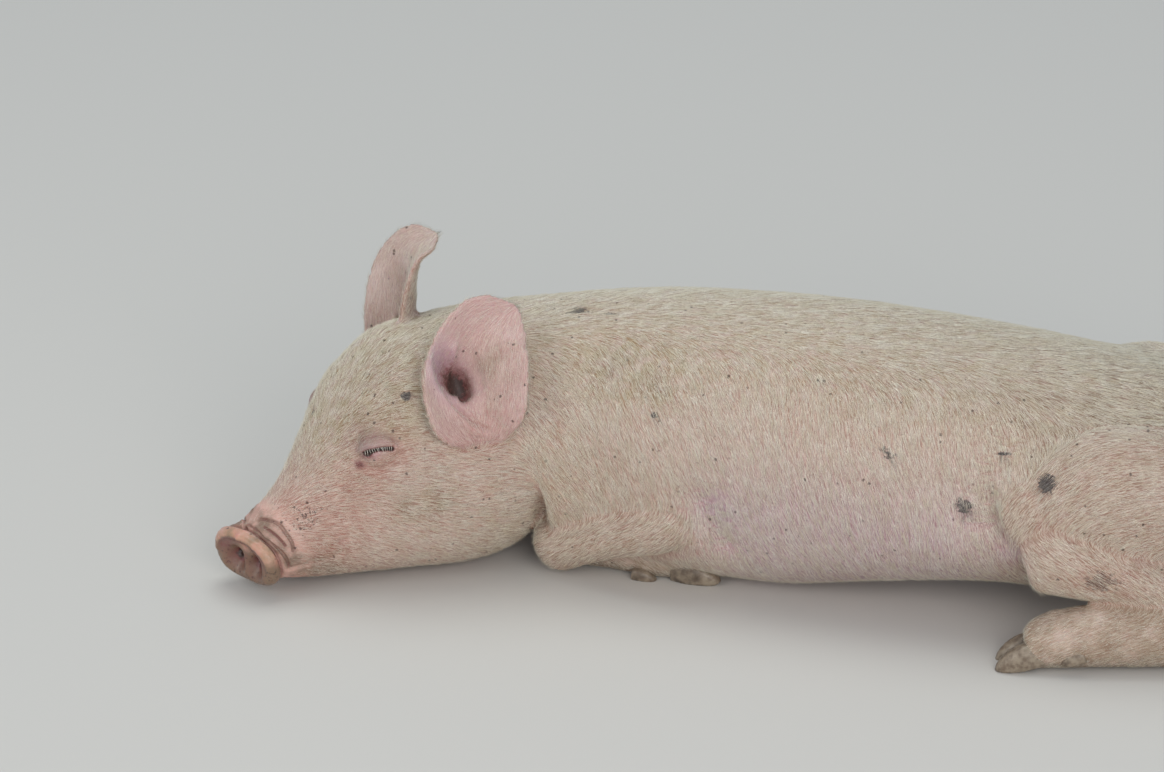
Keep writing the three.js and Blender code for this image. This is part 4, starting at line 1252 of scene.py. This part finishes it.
skin.data.materials.append(skin_material)
bpy.ops.object.select_all(action="DESELECT")
skin.select_set(True)
bpy.context.view_layer.objects.active = skin
bpy.ops.object.shade_smooth()
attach(skin, "root")
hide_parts(*[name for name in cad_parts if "claw" not in name and "eye" not in name])

# %% [markdown]
# ## The lie of the coat
# Hair points from the snout to the tail and slants down the sides. On the legs it runs to the foot and
# on the ears to the tip. Each point of the skin gets that direction, smoothed over its neighbours so
# that the streams of hair join without a seam.

# %% Directions on the skin
down = np.array([0.0, 0.0, -1.0])
ends = edges_of(skin)


def on_surface(vectors, normals):
    """The part of each direction that runs along the surface."""
    return vectors - (vectors * normals).sum(1)[:, None] * normals


# Share of the body's length from the rump, and how steeply the hair falls down the side there.
FALL = (
    (0, 35), (0.1, 38), (0.17, 42), (0.22, 66), (0.28, 76), (0.36, 64), (0.45, 52), (0.5, 38),
    (0.56, 26), (0.65, 24), (0.75, 22), (0.85, 24), (1, 20),
)
fall_at, fall_by = np.array(FALL, float).T
fall = np.radians(np.where(on_body, np.interp(along, fall_at, fall_by), 22))
fall = np.where(on_leg, math.radians(18), np.where(on_ear, 0, fall))
slope = on_surface(np.tile(down, (len(skin_points), 1)), skin_normals)
steep = ramp(np.linalg.norm(slope, axis=1), 0.12, 0.75)
fall = fall * steep
lie = unit(on_surface(sample_lie[nearest], skin_normals))
lie = lie * np.cos(fall)[:, None] + unit(slope) * np.sin(fall)[:, None]
lie = unit(on_surface(evened(lie, ends, rounds=14), skin_normals))
layer = skin.data.attributes.new("lie", "FLOAT_VECTOR", "POINT")
layer.data.foreach_set("vector", lie.astype(np.float32).ravel())
nap_share = 1 - 0.9 * masks["bare"] - 0.35 * in_ear - 0.3 * on_foot
nap_share *= 1 - 0.7 * share_near(head.point(-144, 45, 48), 15, [(head.up, 1.4)]) * in_left_ear
nap_share *= (1 - 0.85 * ramp(front, -34, -18) * (on_head | on_disc)) * (1 - 0.8 * masks["deep"].clip(0, 1))
for side_name in SIDES:
    lids = eye_frame(side_name)
    nap_share *= 1 - 0.4 * share_near(lids.point(LID_MIDDLE, 10, 0), 8, [(head.forward, 1.3)])
give_numbers(skin, {"nap": np.clip(nap_share, 0, 1)})
print("lie of the coat set at", len(lie), "points")

# %% Length, density, thickness and lift
# Share of the body's length from the rump: length, hairs per square centimetre, thickness, lift.
COAT = (
    (0.00, 7.5, 84, 0.22, 8), (0.10, 8, 88, 0.22, 7), (0.25, 8.5, 92, 0.21, 6), (0.38, 8.5, 92, 0.21, 6),
    (0.45, 8, 96, 0.21, 7), (0.52, 7, 104, 0.20, 8), (0.58, 6.5, 112, 0.20, 10), (0.66, 5.6, 124, 0.18, 12),
    (0.74, 4.8, 140, 0.17, 13), (0.82, 3.8, 150, 0.15, 14), (0.90, 2.9, 136, 0.12, 14),
    (0.96, 2.0, 90, 0.10, 14), (1.00, 1.5, 20, 0.10, 14),
)
coat_table = np.array(COAT)
hair_long, hair_count, hair_thick, hair_lift = (
    np.interp(along, coat_table[:, 0], coat_table[:, k]) for k in (1, 2, 3, 4)
)


def set_coat(where, long, count, thick, lift):
    """Gives the chosen points one kind of coat."""
    hair_long[where], hair_count[where] = long, count
    hair_thick[where], hair_lift[where] = thick, lift


set_coat(on_leg, 6.0, 92, 0.19, 8)
set_coat(on_foot, 3.6, 90, 0.15, 10)
set_coat(on_ear, 4.6, 100, 0.16, 12)
set_coat(in_ear, 3.2, 90, 0.13, 14)
set_coat(in_ear & on_parts(part, "ear_right"), 4.4, 130, 0.12, 13)
set_coat(ear_rim, 4.6, 130, 0.11, 26)
set_coat(on_parts(part, "ear_root"), 4.5, 80, 0.18, 13)
set_coat(on_parts(part, "tail"), 4.5, 50, 0.14, 12)
set_coat(on_parts(part, "tail") & (along > 0.8), 11, 90, 0.15, 16)
set_coat(on_disc, 1.2, 4, 0.12, 15)
for side_name in SIDES:
    around_eye = np.linalg.norm(skin_points - eyes[side_name], axis=1)
    hair_long *= 0.4 + 0.6 * ramp(around_eye, 13, 24)
    hair_count *= 0.6 + 0.4 * ramp(around_eye, 13, 20)
hair_count *= 1 - 0.85 * ramp(front, -30, -18) * on_head
thin_out = ramp(normal_z, -0.95, -0.5) * 0.7 + 0.3
hair_count *= thin_out * (1 - 0.9 * masks["bare"]) * (1 - 0.6 * masks["raw"]) * (height > 1.5)
hair_count *= 1 - 0.75 * share_near(trunk.point(-141, 84, 56), 14)

# %% [markdown]
# ## The coat
# A bristle is a thin spike with three sides. The spikes are scattered by chance, with a fixed seed, as
# thickly as the table says. They are straight, except those of the tail, which are bent once so that
# they stand up at the root and lie down towards the tip. Each gets its own small patch of the bake
# map, at its root's place on the unrolled body.

# %% Scattering the roots
rng = np.random.default_rng(7)
triangles = numbers_of(skin.data.polygons, "vertices", 3, np.int32)
corner = skin_points[triangles]
areas = np.linalg.norm(np.cross(corner[:, 1] - corner[:, 0], corner[:, 2] - corner[:, 0]), axis=1) / 2
wanted = hair_count[triangles].mean(1) * areas / 100
owner = np.repeat(np.arange(len(triangles)), rng.poisson(wanted))
weights = rng.random((len(owner), 2))
weights = np.where(weights.sum(1)[:, None] > 1, 1 - weights, weights)
weights = np.concatenate([1 - weights.sum(1)[:, None], weights], axis=1)


def at_roots(values):
    """A value of the skin's points at every root."""
    picked = values[triangles[owner]]
    return np.einsum("rk,rk...->r...", weights, picked)


root_points = at_roots(skin_points)
root_normals = unit(at_roots(skin_normals))
root_lie = at_roots(lie)
root_vertex = triangles[owner][:, 0]
root_long, root_thick, root_lift = at_roots(hair_long), at_roots(hair_thick), at_roots(hair_lift)
print(len(owner), "hairs")


def waves(points, size, seed):
    """Smooth noise of about -1 to 1, with lumps of the given size."""
    source = np.random.default_rng(seed)
    total = np.zeros(len(points))
    for _ in range(9):
        direction = unit(source.normal(size=3)) * source.uniform(0.7, 1.4) / size
        total += np.sin(points @ direction * 2 * math.pi + source.uniform(0, 2 * math.pi))
    return total / 3


swirl = waves(root_points, 70, 1) * 6 + waves(root_points, 18, 2) * 4 + waves(root_points, 7, 3) * 3
swirl += rng.normal(0, 8, len(owner))
side_way = np.cross(root_normals, root_lie)
turned = root_lie * np.cos(np.radians(swirl))[:, None] + side_way * np.sin(np.radians(swirl))[:, None]
root_way = unit(on_surface(turned, root_normals))
root_long = root_long * rng.uniform(0.65, 1.2, len(owner)) * (1 + 0.15 * waves(root_points, 12, 4))
root_thick = root_thick * rng.uniform(0.6, 1.2, len(owner))
root_lift = np.radians(root_lift * rng.uniform(0.5, 1.6, len(owner)))
root_shade = np.clip(0.5 + 0.28 * rng.normal(size=len(owner)) + 0.15 * waves(root_points, 10, 5), 0, 1)

# %% Whiskers and lashes
WHISKER_SHARE = 0.02
LASHES = 13  # on each eye
root_front = -head.within(root_points)[0]
whisker = rng.random(len(owner)) < WHISKER_SHARE
whisker &= (root_front < 78) & (root_front > 8) & (root_lift > 0.1)
root_long = np.where(whisker, 7.5, root_long)
root_lift = np.where(whisker, np.radians(24), root_lift)
root_thick = np.where(whisker, 0.14, root_thick)
for side_name in SIDES:
    lids = eye_frame(side_name)
    lash_points = eye_line(lids, *SLIT[:2], 0.4, SLIT_DROOP, steps=LASHES)
    lash_ways = unit(lids.point(rng.normal(0.05, 0.12, LASHES), 0.5, -1) - lids.origin)
    lash_vertex = [int(np.linalg.norm(skin_points - point, axis=1).argmin()) for point in lash_points]
    lash_owner = np.array([int((triangles == vertex).any(1).argmax()) for vertex in lash_vertex])
    owner = np.append(owner, lash_owner)
    weights = np.append(weights, np.full((LASHES, 3), 1 / 3), axis=0)
    root_points = np.append(root_points, lash_points + lids.left * 0.5, axis=0)
    root_normals = np.append(root_normals, np.tile(lids.left, (LASHES, 1)), axis=0)
    root_way = np.append(root_way, lash_ways, axis=0)
    root_vertex = np.append(root_vertex, lash_vertex)
    root_long = np.append(root_long, rng.uniform(4.0, 5.5, LASHES))
    root_thick = np.append(root_thick, np.full(LASHES, 0.4))
    root_lift = np.append(root_lift, np.full(LASHES, 0.12))
    root_shade = np.append(root_shade, np.ones(LASHES))
is_lash = np.arange(len(owner)) >= len(owner) - LASHES * len(SIDES)
print(whisker.sum(), "whiskers and", is_lash.sum(), "lashes")

# %% Building spikes
SPIKE_PATCH = 0.003  # across, on the bake map
# Share of the length, height as a share of the straight rise, and thickness, of each ring of a spike.
BENT = ((-0.05, -0.05, 1.0), (0.48, 0.75, 0.85))
STRAIGHT = ((-0.06, -0.06, 1.0),)
TIP_RISE = {2: 0.95, 1: 0.8}
ROOT_DEPTH = 0.15  # of a spike's base under the skin
# A bristle lets light through, so it is as bright as the skin it lies on and not dark on one side.
SKIN_SHARE = 0.8  # of a spike's normals


def spike_faces(rings):
    """Triangles of one spike: its base, its sides and its tip."""
    faces = [(0, 2, 1)]
    for ring in range(rings - 1):
        for k in range(3):
            a, b = ring * 3 + k, ring * 3 + (k + 1) % 3
            faces += [(a, b, b + 3), (a, b + 3, a + 3)]
    last = (rings - 1) * 3
    return np.array(faces + [(last + k, last + (k + 1) % 3, rings * 3) for k in range(3)])


def spikes(name, chosen, rings, material, marked=True):
    """One piece of coat from the chosen roots; unmarked hair is plain white."""
    count = len(chosen)
    way, normal, long = root_way[chosen], root_normals[chosen], root_long[chosen]
    aside = np.cross(normal, way)
    rise = np.tan(root_lift[chosen]) * long
    points = np.empty((count, len(rings) * 3 + 1, 3))
    for ring, (share, high, thick) in enumerate(rings):
        above = high * rise - ROOT_DEPTH * (ring == 0)
        middle = root_points[chosen] + way * (share * long)[:, None] + normal * above[:, None]
        for k in range(3):
            angle = math.radians(90 + 120 * k)
            radius = (root_thick[chosen] * thick / 2)[:, None]
            points[:, ring * 3 + k] = middle + radius * (math.cos(angle) * aside + math.sin(angle) * normal)
    tip_rise = TIP_RISE[len(rings)] * rise
    points[:, -1] = root_points[chosen] + way * long[:, None] + normal * tip_rise[:, None]
    points[..., 2] = np.maximum(points[..., 2], FLOOR_GAP * 0.5)
    faces = spike_faces(len(rings))
    per_spike = points.shape[1]
    all_faces = (faces[None] + (np.arange(count) * per_spike)[:, None, None]).reshape(-1, 3)
    mesh = bpy.data.meshes.new(name)
    mesh.vertices.add(count * per_spike)
    mesh.vertices.foreach_set("co", (points.reshape(-1, 3) * MM).ravel())
    mesh.loops.add(all_faces.size)
    mesh.loops.foreach_set("vertex_index", all_faces.ravel().astype(np.int32))
    mesh.polygons.add(len(all_faces))
    mesh.polygons.foreach_set("loop_start", np.arange(len(all_faces), dtype=np.int32) * 3)
    mesh.polygons.foreach_set("use_smooth", np.ones(len(all_faces), bool))
    mesh.update(calc_edges=True)
    own = unit(points - points[:, :-1].mean(1)[:, None])
    leaning = unit(normal[:, None] * SKIN_SHARE + own * (1 - SKIN_SHARE))
    mesh.normals_split_custom_set_from_vertices(leaning.reshape(-1, 3))
    piece = bpy.data.objects.new(name, mesh)
    bpy.context.scene.collection.objects.link(piece)
    table = {key: np.repeat(at_roots(values)[chosen] * marked, per_spike) for key, values in masks.items()}
    table["shade"] = np.repeat(root_shade[chosen], per_spike)
    tip = np.concatenate([np.repeat([max(share, 0) for share, *_ in rings], 3), [1]])
    table["tip"] = np.tile(tip, count)
    give_numbers(piece, table)
    bake_map(mesh, chosen, faces, len(rings))
    mesh.materials.append(material)
    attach(piece, "root")
    return piece


def spread(values):
    """Values stretched to fill 0 to 1."""
    return (values - values.min()) / max(np.ptp(values), 1e-6)


def bake_map(mesh, chosen, faces, rings):
    """Gives each spike its patch: parts of the body side by side, each unrolled along and around."""
    owner_vertex = root_vertex[chosen]
    parts, cell = np.unique(part[owner_vertex], return_inverse=True)
    across, upward = np.empty(len(chosen)), np.empty(len(chosen))
    for number in range(len(parts)):
        here = cell == number
        across[here] = spread(along[owner_vertex][here] + rng.uniform(-0.003, 0.003, here.sum()))
        unrolled = spread(turn[owner_vertex][here] + rng.uniform(-0.004, 0.004, here.sum()))
        upward[here] = (number + 0.03 + 0.94 * unrolled) / len(parts)
    root_place = np.stack([across, upward], 1) * (1 - 2 * SPIKE_PATCH) + SPIKE_PATCH
    patch_place = np.zeros((rings * 3 + 1, 2))
    patch_place[-1] = (0.5, 0)
    for ring in range(rings):
        for k in range(3):
            patch_place[ring * 3 + k] = (ring / rings - 0.5 + 0.1 * (k == 1), (k - 1) / 2)
    corners = root_place[:, None] + (patch_place * SPIKE_PATCH)[faces.ravel()][None]
    layer = mesh.uv_layers.new(name="OFBake")
    layer.data.foreach_set("uv", corners.astype(np.float32).ravel())


# %% Hair material
hair_material, n, shader = finish_of("white_bristle")
look = n.add("ShaderNodeGroup", node_tree=markings)
look.inputs["Hair Share"].default_value = 0.84
shade = n.ease(n.number("shade"), 0.0, 1.0)
toned = n.mix(shade, srgb(226, 217, 202), (1, 1, 1, 1))
n.feed(n.mix(1.0, look.outputs["Colour"], toned, "MULTIPLY"), shader, "Base Color")
n.feed(n.sum("SUBTRACT", 0.55, n.times(n.number("tip"), 0.12)), shader, "Roughness")
shader.inputs["Specular IOR Level"].default_value = 0.35

# %% The pieces of the coat
BODY_PIECES = (("rump", 0, 0.205), ("flank", 0.205, 0.255), ("loin", 0.255, 0.3), ("ribs", 0.3, 0.35),
               ("shoulder", 0.35, 0.42), ("withers", 0.42, 0.5), ("neck", 0.5, 0.57))
root_part, root_along = part[root_vertex], along[root_vertex]
coat = {}
for name, start, end in BODY_PIECES:
    coat[name] = on_parts(root_part, "body") & (root_along >= start) & (root_along < end)
coat["head"] = on_parts(root_part, "body") & (root_along >= 0.57) | on_parts(root_part, "ear_root", "disc")
coat["head"] &= ~is_lash
coat["lashes"] = is_lash
for side_name in SIDES:
    coat["foreleg_" + side_name] = on_parts(root_part, "foreleg_" + side_name)
    coat["hindleg_" + side_name] = on_parts(root_part, "hindleg_" + side_name)
    coat["ear_" + side_name] = on_parts(root_part, "ear_" + side_name)
coat["tail"] = on_parts(root_part, "tail")
for name, chosen in coat.items():
    rings = BENT if name == "tail" else STRAIGHT
    piece = spikes("coat_" + name, np.flatnonzero(chosen), rings, hair_material, name != "lashes")
    print(piece.name, len(piece.data.polygons), "triangles")

# %% [markdown]
# ## Eyes and claws
# The eyes are shut, so all that shows of them is a dark wet line between the lids. The claws are horn:
# each is a grid wrapped round a short path again, with a flat sole, a blunt tip and growth rings.

# %% Eyeballs
eye_material, n, shader = finish_of("wet_eye")
shader.inputs["Base Color"].default_value = srgb(38, 26, 24)
shader.inputs["Roughness"].default_value = 0.15
for side_name in SIDES:
    bpy.ops.object.select_all(action="DESELECT")
    bpy.ops.mesh.primitive_uv_sphere_add(
        segments=48, ring_count=32, radius=EYE_RADIUS * MM, location=Vector(eyes[side_name] * MM))
    ball = bpy.context.object
    ball.name = "eyeball_" + side_name
    bpy.ops.object.transform_apply(location=True, rotation=True, scale=True)
    bpy.ops.object.shade_smooth()
    ball.data.materials.append(eye_material)
    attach(ball, "root")
    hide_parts("eye_" + side_name)

# %% Claws
CLAW_AROUND = 28
CLAWS = {  # length, half width, half height
    "main": (22, 6.4, 8),
    "dew": (11, 4, 4.5),
}
CLAW_PLACES = {  # kind, sideways, along the foot, up
    "outer": ("main", 6.9, 0.3, -2), "inner": ("main", -6.9, 0.3, -2),
    "outer_dew": ("dew", 11, -24, -7.5), "inner_dew": ("dew", -11, -24, -7.5),
}
# Share of the length, and size there.
CLAW_ROWS = ((-0.25, 0.80), (0, 0.93), (0.3, 0.97), (0.6, 0.86), (0.82, 0.66), (0.95, 0.42), (1.0, 0.2))
claw_material, n, shader = finish_of("claw_horn")
streaks = n.noise(260, 5)
dirt = n.noise(90, 4)
horn_colour = n.mix(n.ease(streaks, 0.35, 0.7), srgb(150, 136, 118), srgb(112, 96, 80))
n.feed(n.mix(n.ease(dirt, 0.45, 0.75), horn_colour, srgb(74, 62, 52)), shader, "Base Color")
n.feed(n.ease(streaks, -0.4, 1.6), shader, "Roughness")
n.feed(n.bump(n.noise(700, 3), 0.3), shader, "Normal")


def claw_points(place, kind):
    """Rings of a claw in a frame whose forward is its own."""
    length, half, tall = CLAWS[kind]
    share, size = eased(CLAW_ROWS, np.linspace(0, len(CLAW_ROWS) - 1, 34)).T
    size = size * (1 + 0.012 * np.sin(share * length * 2.2))  # growth rings
    angle = np.linspace(0, 2, CLAW_AROUND, endpoint=False)[None] * math.pi
    wide = boxed(np.cos(angle), 2.5) * half * size[:, None]
    high = boxed(np.sin(angle), 2.6) * tall * (size - share * 0.22)[:, None]
    high = high - tall * 0.35 * (np.clip(share, 0, 1) ** 2)[:, None]
    return place.point((share * length)[:, None] + 0 * angle, wide, high)


for leg, sections in LEGS.items():
    for side_name, side in SIDES.items():
        before, end = (trunk.point(s[0], s[1] * side, s[2]) for s in sections["foot"][-2:])
        forward = unit(end - before)
        up_way = unit(np.cross(forward, trunk.left))
        up_way = up_way * np.sign(up_way[2])
        outward = unit(on_surface((trunk.left * side)[None], forward[None])[0])
        for claw, (kind, aside, ahead, raised) in CLAW_PLACES.items():
            middle = end + outward * aside + forward * ahead + up_way * raised
            rings = claw_points(Place(middle, (forward, outward, up_way)), kind)
            rings[..., 2] = np.maximum(rings[..., 2], 0)
            node = f"{leg}_{side_name}_claw_{claw}"
            bpy.ops.object.select_all(action="DESELECT")
            piece = wrapped("claw", rings)
            piece.name = "horn_" + node
            piece.data.materials.append(claw_material)
            bpy.ops.object.shade_smooth()
            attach(piece, "root")
            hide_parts(node)
